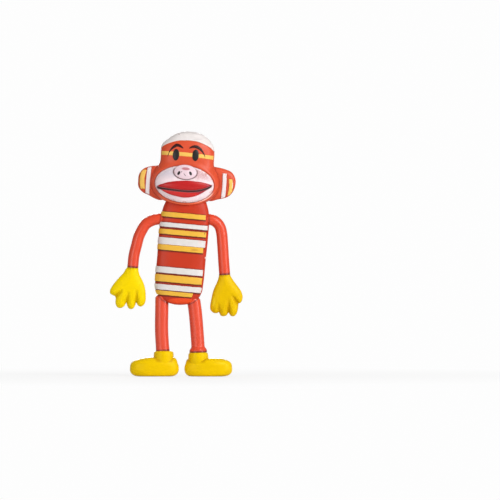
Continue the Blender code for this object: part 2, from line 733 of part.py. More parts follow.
def head_front(across, share):
    # How far the face stands in front of the middle plane.
    width, depth, shift = smooth(HEAD_SHARES, np.ravel(share)).T
    out = (np.ravel(across) / HEAD_HALF_WIDTH - shift) / width
    inside = 1 - np.clip(np.abs(out), 0, 1) ** HEAD_SQUARENESS
    return (HEAD_FRONT * depth * inside ** (1 / HEAD_SQUARENESS)).reshape(np.shape(share))


def muzzle_place():
    across, share = MUZZLE_SHARES
    return across * HEAD_HALF_WIDTH, share


def muzzle_front(across, share, widest=1.0):
    # The muzzle's dome on top of the face. Past the widest share of its radius it stays level.
    middle, level = muzzle_place()
    out = (across - middle) / MUZZLE_HALF_WIDTH
    up = (share - level) * HEAD_HEIGHT / MUZZLE_HALF_HEIGHT
    radius = np.clip(np.hypot(out, up), 0, widest)
    steep, blunt = MUZZLE_DOME_POWERS
    rise = MUZZLE_EDGE + (MUZZLE_RISE - MUZZLE_EDGE) * (1 - radius**steep) ** blunt
    return head_front(across, share) + GAP + rise


def nose_base(across, share):
    return muzzle_front(across, share, widest=NOSE_LEVEL_SHARE)


def face_point(across, share, front):
    # Points of the face from arrays of their sideways place, share of height and reach forward.
    flat = (HEAD_FOOT + np.multiply.outer(across, HEAD_ACROSS)
            + np.multiply.outer(share * HEAD_HEIGHT, HEAD_UP))
    return flat - np.multiply.outer(front, DEEP)


def face_disc(name, place, half_width, half_height, base, back, lift, rise, colour, sides):
    # A domed oval on the surface that base gives, from its back to its rise above the lift.
    middle, level = place
    turn = round_turn(sides)
    rings = []
    for radius, raised in DISC_RING_SHARES:
        across = middle + radius * half_width * np.cos(turn)
        share = level + radius * half_height * np.sin(turn) / HEAD_HEIGHT
        dome = DISC_EDGE_SHARE + (1 - DISC_EDGE_SHARE) * (1 - radius**2) ** 0.5
        top = lift + rise * dome if raised else back
        rings.append(face_point(across, share, base(across, share) + top))
    return solid(name, rings, colour)


def face_strip(name, across, low, high, base, back, lift, rise, colour):
    # A strip between a lower and an upper edge on the surface that base gives.
    rings = []
    for k in range(len(across)):
        section = [(v, back) for v in STRIP_BACK_SHARES]
        section += [(v, lift + raised * rise) for v, raised in STRIP_FRONT_SHARES]
        v, top = np.array(section).T
        x = np.full(len(section), across[k])
        share = low[k] + v * (high[k] - low[k])
        rings.append(face_point(x, share, base(x, share) + top))
    return solid(name, rings, colour)


def make_cap():
    # The crown of the head: a shell that ends on a line arched over the brow.
    turn = round_turn(BODY_SIDES)
    arch = np.abs(np.sin(turn)) ** CAP_ARCH_POWER
    edge = CAP_SIDE_SHARE + (CAP_MIDDLE_SHARE - CAP_SIDE_SHARE) * arch

    def surface(part, grow):
        share = edge + part * (1 - edge)
        rings = np.array([head_ring(s, grow, below=-grow * part**CAP_CROWN_POWER) for s in share])
        return rings[np.arange(BODY_SIDES), np.arange(BODY_SIDES)]

    outside = [surface(p, GAP + CAP_THICKNESS) for p in CAP_RING_SHARES]
    inside = [surface(p, GAP) for p in CAP_RING_SHARES]
    return solid("cap", inside[::-1] + outside, "white")


def make_face():
    above_band = 2 * GAP + PAINT_THICKNESS
    band = EYE_BAND_REACH_SHARE * np.sin(np.linspace(-math.pi / 2, math.pi / 2, EYE_BAND_POINTS))
    level = smooth(EYE_BAND_SHARES, band)[:, 0]
    half = EYE_BAND_HALF_HEIGHT_SHARE
    face = {
        "eye_band": face_strip("eye_band", band * HEAD_HALF_WIDTH, level - half, level + half,
                               head_front, -SEAT, GAP, PAINT_THICKNESS, "stripe yellow"),
    }
    for side in SIDES:
        across, share = EYE_SHARES[side]
        name = f"eye_{side}"
        face[name] = face_disc(name, (across * HEAD_HALF_WIDTH, share), EYE_HALF_WIDTH,
                               EYE_HALF_HEIGHT, head_front, above_band, above_band,
                               PAINT_THICKNESS, "black", EYE_SIDES)
        name = f"brow_{side}"
        places = np.linspace(BROW_SHARES[side][0][0], BROW_SHARES[side][-1][0], BROW_POINTS)
        line = smooth(BROW_SHARES[side], places)[:, 0]
        turn = np.linspace(BROW_END_ANGLE, math.pi - BROW_END_ANGLE, BROW_POINTS)
        taper = np.sin(turn) * BROW_HALF_HEIGHT_SHARE
        face[name] = face_strip(name, places * HEAD_HALF_WIDTH, line - taper, line + taper,
                                head_front, above_band, above_band, PAINT_THICKNESS, "brown")
    face["muzzle"] = make_muzzle()
    nose = (NOSE_SHARES[0] * HEAD_HALF_WIDTH, NOSE_SHARES[1])
    face["nose"] = face_disc("nose", nose, NOSE_HALF_WIDTH, NOSE_HALF_HEIGHT, nose_base, -NOSE_SEAT,
                             GAP, NOSE_RISE, "muzzle white", NOSE_SIDES)
    middle, level = muzzle_place()
    rows = np.array(LIP_SHARES)
    places = np.linspace(rows[0, 0], rows[-1, 0], LIP_POINTS)
    top, mouth, bottom = smooth(rows, places).T * MUZZLE_HALF_HEIGHT / HEAD_HEIGHT + level
    across = middle + places * MUZZLE_HALF_WIDTH
    part = MOUTH_HALF_GAP / HEAD_HEIGHT
    face["upper_lip"] = face_strip("upper_lip", across, mouth + part, top, muzzle_front, -SEAT,
                                   GAP, LIP_RISE, "lip red")
    inner = slice(1, -1)
    face["lower_lip"] = face_strip("lower_lip", across[inner], bottom[inner], mouth[inner] - part,
                                   muzzle_front, -SEAT, GAP, LIP_RISE, "lip red")
    return face


def make_muzzle(name="muzzle", grow=0.0):
    # The white oval: a dome that follows the face. Its back lies in the face, which cuts it.
    middle, level = muzzle_place()
    turn = round_turn(BODY_SIDES)
    rings = []
    for radius, raised in MUZZLE_RING_SHARES:
        across = middle + radius * (MUZZLE_HALF_WIDTH + grow) * np.cos(turn)
        share = level + radius * (MUZZLE_HALF_HEIGHT + grow) * np.sin(turn) / HEAD_HEIGHT
        inner = radius * raised
        top = muzzle_front(middle + inner * MUZZLE_HALF_WIDTH * np.cos(turn),
                           level + inner * MUZZLE_HALF_HEIGHT * np.sin(turn) / HEAD_HEIGHT)
        rings.append(face_point(across, share, top + grow if raised else 0.0 * top))
    return solid(name, rings, "muzzle white")


def ear_edge(turn):
    # The ear's radius by direction: 0 points away from the head, a quarter turn points up.
    shares = np.array(EAR_EDGE_SHARES)
    share = np.interp(turn, round_turn(len(shares)), shares, period=2 * math.pi)
    return share * EAR_RADIUS_SHARE * HEAD_HEIGHT


def ear_point(side, out, up, front):
    # A point of an ear from its place away from the head, upward and forward.
    sign = SIDES[side]
    middle = head_point(sign * (1 + EAR_FROM_SIDE_SHARE) * HEAD_HALF_WIDTH, EAR_HEIGHT_SHARE[side])
    return (middle + np.multiply.outer(sign * out, HEAD_ACROSS) + np.multiply.outer(up, HEAD_UP)
            - np.multiply.outer(front, DEEP))


def ear_front(out, up):
    # How far the ear's face stands in front of its middle plane.
    part = np.hypot(out, up) / ear_edge(np.arctan2(up, out))
    return EAR_HALF_DEPTH * (1 - np.clip(part, 0, 1) ** EAR_DOME_POWER) ** 0.5


def make_ear(side):
    turn = round_turn(EAR_SIDES)
    rings = []
    for part, face in EAR_RING_SHARES:
        out = part * ear_edge(turn) * np.cos(turn)
        up = part * ear_edge(turn) * np.sin(turn)
        rings.append(ear_point(side, out, up, face * ear_front(out, up)))
    return solid(f"ear_{side}", rings, "orange vinyl")


def make_ear_band(side, colour):
    # A raised upright strip on the ear's face, bowed like its outer edge.
    place, half_width, half_height, bow = (share * EAR_RADIUS_SHARE * HEAD_HEIGHT
                                            for share in EAR_BAND_SHARES[colour])
    rings = []
    for level in np.linspace(-1, 1, EAR_BAND_POINTS):
        edge = np.array((-1, 0, 1, 1, 0, -1))
        raised = np.array((0, 0, 0, 1, 1, 1))
        out = place + edge * half_width - bow * level**2
        up = np.full(len(edge), level * half_height)
        rings.append(ear_point(side, out, up, ear_front(out, up) + GAP + raised * PAINT_THICKNESS))
    name = f"ear_band_{colour}_{side}"
    return solid(name, rings, "white" if colour == "white" else "stripe yellow")


def make_head_pieces():
    head = {"head": make_head(), "cap": make_cap()}
    head.update(make_face())
    for side in SIDES:
        head[f"ear_{side}"] = make_ear(side)
        for colour in EAR_BAND_SHARES:
            head[f"ear_band_{colour}_{side}"] = make_ear_band(side, colour)
    return head


# Joints: an empty on each joint's axis carries the pieces that it moves

def pivot(name, place, axis, parent):
    empty = bpy.data.objects.new(f"joint_{name}", None)
    empty.empty_display_size = ARM_RADIUS
    empty["axis"] = tuple(float(v) for v in axis)
    bpy.context.scene.collection.objects.link(empty)
    empty["place"] = tuple(float(v) for v in place)
    start = parent["place"] if parent else (0.0, 0.0, 0.0)
    empty.parent = parent
    empty.location = np.array(place) - np.array(start)
    return empty


def carry(empty, pieces):
    # The pieces keep their place and turn with the empty.
    for piece in pieces:
        piece.parent = empty
        piece.location = -np.array(empty["place"])


def make_pivots(arms, legs):
    waist = pivot("waist_bend", torso_point(WAIST_PIVOT_SHARE), TORSO_ACROSS, None)
    tilt = pivot("neck_tilt", torso_point(NECK_TILT_SHARE), DEEP, waist)
    nod = pivot("neck_nod", torso_point(NECK_NOD_SHARE), HEAD_ACROSS, tilt)
    pivots = {"chest": waist, "neck": tilt, "head": nod}
    for side, sign in SIDES.items():
        def place(route, share):
            return route.point(share * route.length), route.tangent(share * route.length)

        point, along = place(arms[side], RAISE_PIVOT_SHARE)
        raised = pivot(f"shoulder_raise_{side}", point, -sign * DEEP, waist)
        point, along = place(arms[side], SWING_PIVOT_SHARE)
        swung = pivot(f"shoulder_swing_{side}", point, np.cross(along, DEEP), raised)
        point, along = place(arms[side], ELBOW_PIVOT_SHARE)
        elbow = pivot(f"elbow_bend_{side}", point, np.cross(DEEP, along), swung)
        point, along = place(arms[side], WRIST_PIVOT_SHARE)
        wrist = pivot(f"wrist_bend_{side}", point, np.cross(DEEP, along), elbow)
        point, along = place(legs[side], SPREAD_PIVOT_SHARE)
        spread = pivot(f"hip_spread_{side}", point, -sign * DEEP, None)
        point, along = place(legs[side], STRIDE_PIVOT_SHARE)
        stride = pivot(f"hip_swing_{side}", point, np.cross(DEEP, along), spread)
        point, along = place(legs[side], KNEE_PIVOT_SHARE)
        knee = pivot(f"knee_bend_{side}", point, np.cross(along, DEEP), stride)
        point, along = place(legs[side], ANKLE_PIVOT_SHARE)
        ankle = pivot(f"ankle_bend_{side}", point, sign * DEEP, knee)
        pivots.update({f"shoulder_{side}": raised, f"upper_arm_{side}": swung,
                       f"forearm_{side}": elbow, f"hand_{side}": wrist, f"hip_{side}": spread,
                       f"thigh_{side}": stride, f"shin_{side}": knee, f"foot_{side}": ankle})
    return pivots


def make_bodies(things, head):
    # Which pieces move together. The pelvis and what is on it carry the rest.
    chest_stripes = ["stripe_yellow_3", "stripe_white_2", "stripe_yellow_2", "stripe_white_1",
                     "stripe_yellow_1"]
    bodies = {"chest": ["chest", "arm_wire", "spine_wire"] + chest_stripes, "neck": ["neck"],
              "head": list(head)}
    for side in SIDES:
        bodies.update({
            f"shoulder_{side}": [f"shoulder_{side}"],
            f"upper_arm_{side}": [f"upper_arm_{side}"],
            f"forearm_{side}": [f"elbow_{side}", f"forearm_{side}"],
            f"hand_{side}": [f"wrist_{side}", f"hand_{side}"],
            f"hip_{side}": [f"hip_{side}"],
            f"thigh_{side}": [f"thigh_{side}"],
            f"shin_{side}": [f"knee_{side}", f"shin_{side}"],
            f"foot_{side}": [f"ankle_{side}", f"shoe_{side}"],
        })
    moved = {name for names in bodies.values() for name in names}
    bodies["pelvis"] = [name for name in things if name not in moved]
    return bodies


def build():
    for thing in list(bpy.data.objects):
        bpy.data.objects.remove(thing, do_unlink=True)
    things = make_torso()
    for name, colour, low, high, end in STRIPE_SHARES:
        things[name] = make_stripe(name, colour, low, high, end)
    head = make_head_pieces()
    things.update(head)
    arms = {side: arm_route(side) for side in SIDES}
    legs = {side: leg_route(side) for side in SIDES}
    for side in SIDES:
        things.update(make_arm(side, arms[side]))
        things.update(make_leg(side, legs[side]))
        things[f"hand_{side}"] = make_hand(side, arms[side])
        things[f"shoe_{side}"] = make_shoe(side, legs[side])

    around_head = head_clearance()
    for name in ("neck", "eye_band", "muzzle"):
        boolean(things[name], around_head)
    around_muzzle = hide(make_muzzle("muzzle_clearance", GAP))
    for name in ("nose", "upper_lip", "lower_lip"):
        boolean(things[name], around_muzzle)
        boolean(things[name], around_head)
    around_chest = torso_clearance("chest_clearance", WAIST_HIGH_SHARE, 1.0)
    around_pelvis = torso_clearance("pelvis_clearance", 0.0, WAIST_LOW_SHARE)
    for side in SIDES:
        boolean(things[f"ear_{side}"], around_head)
        boolean(things[f"shoulder_{side}"], around_chest)
        boolean(things[f"hip_{side}"], around_pelvis)
        around_arm = hide(tube(f"shoulder_clearance_{side}", arms[side], -ARM_ROOT_INSIDE,
                               ARM_RADIUS + OVERRUN, ARM_RADIUS + GAP, "orange vinyl", LIMB_SIDES,
                               ARM_RADIUS))
        for name in STRIPES_BESIDE_ARM[side]:
            boolean(things[name], around_arm)

    arm_parts = ("shoulder", "upper_arm", "elbow", "forearm", "wrist", "hand")
    leg_parts = ("hip", "thigh", "knee", "shin", "ankle", "shoe")
    crossed = {
        "arm_wire": ["chest"] + [f"{part}_{side}" for side in SIDES for part in arm_parts],
        "leg_wire": ["pelvis"] + [f"{part}_{side}" for side in SIDES for part in leg_parts],
        "spine_wire": ["pelvis", "waist", "chest", "neck", "head"],
    }
    things.update(make_wires(wire_routes(arms, legs), things, crossed))

    pivots = make_pivots(arms, legs)
    for body, names in make_bodies(things, head).items():
        if body in pivots:
            carry(pivots[body], [things[name] for name in names])
    bpy.context.view_layer.update()


build()
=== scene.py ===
import math

import bmesh
import bpy
import numpy as np
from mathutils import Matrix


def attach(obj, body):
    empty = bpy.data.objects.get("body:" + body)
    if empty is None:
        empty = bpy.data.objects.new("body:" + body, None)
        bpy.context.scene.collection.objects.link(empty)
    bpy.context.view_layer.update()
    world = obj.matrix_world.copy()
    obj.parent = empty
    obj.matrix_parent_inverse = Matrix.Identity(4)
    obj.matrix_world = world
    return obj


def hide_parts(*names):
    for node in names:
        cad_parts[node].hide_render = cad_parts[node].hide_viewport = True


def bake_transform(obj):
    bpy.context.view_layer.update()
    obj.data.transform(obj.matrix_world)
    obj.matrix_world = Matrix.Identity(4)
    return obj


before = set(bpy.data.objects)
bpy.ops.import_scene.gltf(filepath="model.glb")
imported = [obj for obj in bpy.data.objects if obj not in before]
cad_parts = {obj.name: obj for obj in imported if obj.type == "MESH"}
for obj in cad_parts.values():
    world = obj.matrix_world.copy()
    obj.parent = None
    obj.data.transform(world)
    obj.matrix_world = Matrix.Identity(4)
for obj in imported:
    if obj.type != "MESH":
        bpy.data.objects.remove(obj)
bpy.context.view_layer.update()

# Metres, +Z up, the face towards -Y. Right and left are the doll's own: its right side is at -X.
mm = 0.001
up = np.array((0.0, 0.0, 1.0))
deep = np.array((0.0, 1.0, 0.0))
sides = {"right": -1, "left": 1}


# Tables and curves

def readTable(rows, places):
    # Cubic between two rows: (2t3-3t2+1)a + (t3-2t2+t)wA + (3t2-2t3)b + (t3-t2)wB, with slopes A, B.
    rows = np.array(rows, float)
    places = np.asarray(places, float)
    knots, values = rows[:, 0], rows[:, 1:]
    slopes = np.gradient(values, knots, axis=0)
    left = np.clip(np.searchsorted(knots, places, side="right") - 1, 0, len(knots) - 2)
    width = (knots[left + 1] - knots[left])[..., None]
    t = (places - knots[left])[..., None] / width
    fromLeft = (2 * t**3 - 3 * t**2 + 1) * values[left] + (t**3 - 2 * t**2 + t) * width * slopes[left]
    fromRight = (3 * t**2 - 2 * t**3) * values[left + 1] + (t**3 - t**2) * width * slopes[left + 1]
    return np.moveaxis(fromLeft + fromRight, -1, 0)


def ease(low, high, value):
    # 3t2 - 2t3, where t runs from 0 at low to 1 at high.
    t = np.clip((value - low) / (high - low), 0, 1)
    return t * t * (3 - 2 * t)


def ridge(value, middle, width):
    # exp(-((v - m) / w)^2): 1 at the middle, and next to nothing two widths away.
    return np.exp(-((value - middle) / width) ** 2)


def reachedAlong(line):
    # The distance run along a line of points, at each of them.
    return np.concatenate(([0.0], np.cumsum(np.linalg.norm(np.diff(line, axis=0), axis=1))))


def fullTurns(count):
    return 2 * math.pi * np.arange(count) / count


def spans(*parts):
    # Even rows of numbers, end to end and each number once: a part's first, its last and how many.
    return np.unique(np.concatenate([np.linspace(*part) for part in parts]))


def archShares(count):
    # From 0 to 1, closer at both ends; each end stands twice, so that a rim can go straight down.
    v = (1 - np.cos(np.linspace(0, math.pi, count))) / 2
    return np.concatenate(((0.0,), v, (1.0,)))[None, :]


def leanFrame(degrees):
    # The sideways and upward directions of a block that leans towards the doll's left.
    angle = math.radians(degrees)
    return (np.array((math.cos(angle), 0.0, -math.sin(angle))),
            np.array((math.sin(angle), 0.0, math.cos(angle))))


def unitOval(turn, squareness):
    # sign(cos) |cos|^(2/n) and sign(sin) |sin|^(2/n), where n is the squareness.
    cosine, sine = np.cos(turn), np.sin(turn)
    power = 2 / squareness
    return np.sign(cosine) * np.abs(cosine) ** power, np.sign(sine) * np.abs(sine) ** power


def evenTurns(count, halfWidth, halfDepth, squareness, steps=4001):
    # Turns round an oval that are the same way apart along its edge.
    fine = np.linspace(0, 2 * math.pi, steps)
    x, y = unitOval(fine, squareness)
    reached = reachedAlong(np.column_stack((x * halfWidth, y * halfDepth)))
    return np.interp(np.arange(count) * reached[-1] / count, reached, fine)


def makeRoute(points, steps=400):
    # A cubic centre line through a few points, and the distance reached at each of its steps.
    points = np.array(points, float)
    knots = reachedAlong(points)
    line = readTable(np.column_stack((knots, points)), np.linspace(0, knots[-1], steps)).T
    reached = reachedAlong(line)
    return {"line": line, "reached": reached, "length": reached[-1]}


def onRoute(route, distance):
    # Places and directions along a route. Past its ends it runs on straight.
    distance = np.atleast_1d(np.asarray(distance, float))
    inside = np.clip(distance, 0, route["length"])
    line, reached = route["line"], route["reached"]
    place = np.array([np.interp(inside, reached, line[:, k]) for k in range(3)]).T
    slope = np.gradient(line, reached, axis=0)
    along = np.array([np.interp(inside, reached, slope[:, k]) for k in range(3)]).T
    along /= np.linalg.norm(along, axis=1)[:, None]
    return place + (distance - inside)[:, None] * along, along


def routePlace(route, distance):
    return onRoute(route, distance)[0][0]


def tubeRings(route, distances, radii, count):
    # centre + r (cos t across + sin t deep), where across and deep are square to the line.
    place, along = onRoute(route, distances)
    front = deep - along * (along @ deep)[:, None]
    front /= np.linalg.norm(front, axis=1)[:, None]
    across = np.cross(front, along)
    turn = fullTurns(count)
    radii = np.broadcast_to(radii, len(place))[:, None, None]
    return (place[:, None] + radii * (np.cos(turn)[:, None] * across[:, None]
                                      + np.sin(turn)[:, None] * front[:, None]))


# Meshes

meshing = {"mergeWay": 0.002 * mm, "flatWay": 0.001 * mm, "smooth": 50, "smoothRelief": 60}


def makePiece(name, points, faces, material, masks=None, crease=meshing["smooth"]):
    # A mesh from arrays. Doubles are merged, faces point outwards, and the masks stay on its points.
    mesh = bpy.data.meshes.new(name)
    points = np.asarray(points, float).reshape(-1, 3)
    mesh.from_pydata(points, [], faces)
    place = mesh.attributes.new("restPlace", "FLOAT_VECTOR", "POINT")
    place.data.foreach_set("vector", points.astype(np.float32).ravel())
    for label, values in (masks or {}).items():
        mask = mesh.attributes.new(label, "FLOAT", "POINT")
        mask.data.foreach_set("value", np.clip(values, 0, 1).astype(np.float32).ravel())
    work = bmesh.new()
    work.from_mesh(mesh)
    bmesh.ops.remove_doubles(work, verts=work.verts, dist=meshing["mergeWay"])
    bmesh.ops.dissolve_degenerate(work, edges=work.edges, dist=meshing["flatWay"])
    bmesh.ops.recalc_face_normals(work, faces=work.faces)
    work.to_mesh(mesh)
    work.free()
    mesh.shade_smooth()
    mesh.set_sharp_from_angle(angle=math.radians(crease))
    mesh.materials.append(material)
    piece = bpy.data.objects.new(name, mesh)
    bpy.context.scene.collection.objects.link(piece)
    return piece or piece


def gridFaces(rows, columns):
    # Four corners of each cell of a grid of points, whose columns close on themselves.
    row, column = np.meshgrid(np.arange(rows - 1), np.arange(columns), indexing="ij")
    here = row * columns + column
    after = row * columns + (column + 1) % columns
    return np.stack((here, after, after + columns, here + columns), axis=-1).reshape(-1, 4).tolist()


def loft(name, rings, material, masks=None, crease=meshing["smooth"]):
    # A closed skin through rings of points, with a flat lid on both ends.
    rings = np.asarray(rings)
    rows, columns = rings.shape[:2]
    faces = gridFaces(rows, columns)
    faces.append(list(range(columns)))
    faces.append([(rows - 1) * columns + k for k in range(columns)])
    return makePiece(name, rings, faces, material, masks, crease)


def settle(piece, body, *nodes):
    # The piece moves with one body and stands for its nodes.
    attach(piece, body)
    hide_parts(*nodes)


# Materials: what more than one of them needs is a node group

white = (255, 255, 255)
mixSockets = {"factor": 0, "first": 6, "second": 7, "result": 2}  # where a colour Mix node has them


def feed(tree, node, inputs):
    # Each input is a value or another node's output.
    for label, value in inputs.items():
        if isinstance(value, bpy.types.NodeSocket):
            tree.links.new(value, node.inputs[label])
        else:
            node.inputs[label].default_value = value


def addNode(tree, kind, inputs=None, **settings):
    node = tree.nodes.new("ShaderNode" + kind)
    for label, value in settings.items():
        setattr(node, label, value)
    feed(tree, node, inputs or {})
    return node


def newGroup(name, inputs, outputs):
    group = bpy.data.node_groups.new(name, "ShaderNodeTree")
    for way, sockets in (("INPUT", inputs), ("OUTPUT", outputs)):
        for label, kind in sockets.items():
            group.interface.new_socket(label, in_out=way, socket_type="NodeSocket" + kind)
    return group, group.nodes.new("NodeGroupInput").outputs, group.nodes.new("NodeGroupOutput")


def addGroup(tree, group, inputs):
    return addNode(tree, "Group", inputs, node_tree=group).outputs


def calc(tree, operation, *values, clamp=False):
    # One step of arithmetic on values and outputs.
    node = addNode(tree, "Math", dict(enumerate(values)), operation=operation, use_clamp=clamp)
    return node.outputs[0]


def around(tree, signal, spread, level):
    # level + (signal - 1/2) * spread
    return calc(tree, "MULTIPLY_ADD", calc(tree, "SUBTRACT", signal, 0.5), spread, level)


def past(tree, signal, limit, steep):
    # (signal - limit) * steep, kept between 0 and 1
    return calc(tree, "MULTIPLY", calc(tree, "SUBTRACT", signal, limit), steep, clamp=True)


def weigh(tree, *parts):
    # The sum of signals, each times its weight.
    total = 0.0
    for signal, weight in parts:
        total = calc(tree, "MULTIPLY_ADD", signal, weight, total)
    return total


def blendColours(tree, factor, first, second, how="MIX"):
    inputs = {mixSockets["factor"]: factor, mixSockets["first"]: first, mixSockets["second"]: second}
    return addNode(tree, "Mix", inputs, data_type="RGBA", blend_type=how).outputs[mixSockets["result"]]


def greyColour(tree, level):
    return addNode(tree, "CombineColor", {0: level, 1: level, 2: level}).outputs[0]


def noise(tree, place, scale, detail=3.0):
    return addNode(tree, "TexNoise", {"Vector": place, "Scale": scale, "Detail": detail}).outputs["Fac"]


def fromScreen(colour):
    # A colour as the screen shows it, 0 to 255, made linear: ((c + 0.055) / 1.055)^2.4.
    shade = np.array(colour) / 255
    linear = np.where(shade <= 0.04045, shade / 12.92, ((shade + 0.055) / 1.055) ** 2.4)
    return (*linear.tolist(), 1.0)


surfaceOutputs = {"Colour": "Color", "Roughness": "Float", "Height": "Float"}
# Scales of noise are per metre. A part is how much a signal counts, a rise how much it lifts.
vinylGrain = {
    "blotchScale": 160.0, "blotchPart": 0.65, "cloudScale": 620.0, "cloudDetail": 4.0, "cloudPart": 0.35,
    "grainScale": 3200.0, "grainDetail": 2.0, "grainRise": 0.35, "cloudRise": 0.65, "roughSpread": 0.22,
    "seamPlace": 3.0 * mm, "seamWidth": 0.16 * mm, "seamShade": 0.22, "seamRise": 2.0,
}
paintGrain = {
    "cloudScale": 420.0, "cloudDetail": 4.0, "fineScale": 1900.0, "part": 0.5, "spread": 0.16,
    "edgePower": 3.0, "edgePart": 0.30, "chipLimit": 0.86, "wearPart": -0.3, "chipSteep": 14.0,
    "lineSteep": 16.0, "lineStrength": 0.8, "roughSpread": 0.18, "fineRise": 0.5,
}
spotGrain = {"scale": 2600.0, "wobble": 0.7, "limit": 1.35, "steep": 2.2, "behind": 1.5 * mm}
dotGrain = {"scale": 3000.0, "limit": 0.40, "steep": 5.0, "gain": 1.6}


def makeMottle():
    # Soft vinyl: blotches about 6 mm wide, a fine grain, painted shade in creases, and the mould's thin seam
    # where the depth passes the doll's middle: 1 - |y - m| / w.
    group, given, out = newGroup("mottledVinyl", {
        "Place": "Vector", "Colour": "Color", "Crease Colour": "Color", "Crease": "Float",
        "Mottle": "Float", "Roughness": "Float"}, surfaceOutputs)
    place, grain = given["Place"], vinylGrain
    depth = addNode(group, "SeparateXYZ", {0: place}).outputs["Y"]
    way = calc(group, "ABSOLUTE", calc(group, "SUBTRACT", depth, grain["seamPlace"]))
    seam = calc(group, "SUBTRACT", 1.0, calc(group, "DIVIDE", way, grain["seamWidth"]), clamp=True)
    blotch = noise(group, place, grain["blotchScale"])
    cloud = noise(group, place, grain["cloudScale"], grain["cloudDetail"])
    fine = noise(group, place, grain["grainScale"], grain["grainDetail"])
    both = weigh(group, (blotch, grain["blotchPart"]), (cloud, grain["cloudPart"]))
    grey = greyColour(group, around(group, both, given["Mottle"], 1.0))
    tinted = blendColours(group, 1.0, given["Colour"], grey, "MULTIPLY")
    shaded = calc(group, "MAXIMUM", given["Crease"], calc(group, "MULTIPLY", seam, grain["seamShade"]))
    feed(group, out, {
        "Colour": blendColours(group, shaded, tinted, given["Crease Colour"]),
        "Roughness": around(group, cloud, grain["roughSpread"], given["Roughness"]),
        "Height": weigh(group, (cloud, grain["cloudRise"]), (fine, grain["grainRise"]),
                        (seam, grain["seamRise"]))})
    return group


def makeWornPaint():
    # Sprayed paint on relief: it thins towards its rim, chips where noise and rim add up past a
    # limit, and has a thin darker line along the rim.
    group, given, out = newGroup("wornPaint", {
        "Place": "Vector", "Paint": "Color", "Under": "Color", "Line Colour": "Color", "Rim": "Float",
        "Line From": "Float", "Wear": "Float", "Roughness": "Float"}, surfaceOutputs)
    place, rim, grain = given["Place"], given["Rim"], paintGrain
    cloud = noise(group, place, grain["cloudScale"], grain["cloudDetail"])
    fine = noise(group, place, grain["fineScale"])
    grey = greyColour(group, around(group, cloud, grain["spread"], 1.0))
    tinted = blendColours(group, 1.0, given["Paint"], grey, "MULTIPLY")
    edge = calc(group, "POWER", rim, grain["edgePower"])
    thin = weigh(group, (fine, grain["part"]), (cloud, grain["part"]), (edge, grain["edgePart"]))
    limit = calc(group, "MULTIPLY_ADD", given["Wear"], grain["wearPart"], grain["chipLimit"])
    bare = past(group, thin, limit, grain["chipSteep"])
    chipped = blendColours(group, bare, tinted, given["Under"])
    line = past(group, rim, given["Line From"], grain["lineSteep"])
    line = calc(group, "MULTIPLY", line, grain["lineStrength"])
    feed(group, out, {
        "Colour": blendColours(group, line, chipped, given["Line Colour"]),
        "Roughness": around(group, fine, grain["roughSpread"], given["Roughness"]),
        "Height": weigh(group, (fine, grain["fineRise"]), (bare, -1.0))})
    return group


def makeSpot():
    # 1 inside an oval round a point of the front, 0 outside and behind: ((x-a)/w)^2 + ((z-b)/h)^2 < 1.
    group, given, out = newGroup("spotMask", {
        "Place": "Vector", "Across": "Float", "Up": "Float", "Half Width": "Float",
        "Half Height": "Float"}, {"Mask": "Float"})
    parts = addNode(group, "SeparateXYZ", {0: given["Place"]}).outputs
    x = calc(group, "DIVIDE", calc(group, "SUBTRACT", parts["X"], given["Across"]), given["Half Width"])
    z = calc(group, "DIVIDE", calc(group, "SUBTRACT", parts["Z"], given["Up"]), given["Half Height"])
    wobble = noise(group, given["Place"], spotGrain["scale"])
    reach = weigh(group, (x, x), (z, z), (wobble, spotGrain["wobble"]))
    mask = past(group, spotGrain["limit"], reach, spotGrain["steep"])
    front = calc(group, "LESS_THAN", parts["Y"], spotGrain["behind"])
    feed(group, out, {"Mask": calc(group, "MULTIPLY", mask, front)})
    return group


spotMask = makeSpot()


def startMaterial(name):
    material = bpy.data.materials.new(name)
    material.use_nodes = True
    tree = material.node_tree
    return material, tree, tree.nodes["Principled BSDF"]


def readMask(tree, label, output="Fac"):
    return addNode(tree, "Attribute", attribute_name=label).outputs[output]


def addSpots(tree, place, colour, spots):
    # Each spot: its colour, where it is and its half sizes in millimetres, and its strength.
    for shade, across, level, halfWidth, halfHeight, strength in spots:
        mask = addGroup(tree, spotMask, {
            "Place": place, "Across": across * mm, "Up": level * mm, "Half Width": halfWidth * mm,
            "Half Height": halfHeight * mm})["Mask"]
        colour = blendColours(tree, calc(tree, "MULTIPLY", mask, strength), colour, fromScreen(shade))
    return colour


def addMasks(tree, place, colour, masks):
    # Each mask: its colour, its strength, and how much of it breaks up into fine dots.
    for label, shade, strength, stipple in masks:
        dots = past(tree, noise(tree, place, dotGrain["scale"]), dotGrain["limit"], dotGrain["steep"])
        broken = calc(tree, "MULTIPLY_ADD", dots, dotGrain["gain"] * stipple * strength,
                      (1 - stipple) * strength)
        mask = calc(tree, "MULTIPLY", readMask(tree, label), broken, clamp=True)
        colour = blendColours(tree, mask, colour, fromScreen(shade))
    return colour


def finishMaterial(tree, shader, colour, roughness, height, look):
    # The look's bump is the height of the relief in millimetres.
    relief = addNode(tree, "Bump", {"Height": height, "Distance": look["bump"] * mm, "Strength": 1.0})
    feed(tree, shader, {
        "Base Color": colour, "Roughness": roughness, "Normal": relief.outputs["Normal"],
        "Coat Weight": look["coat"], "Coat Roughness": look["coatRoughness"],
        "Specular IOR Level": look["gloss"], "Specular Tint": fromScreen(look["tint"]),
        "Metallic": look["metallic"]})


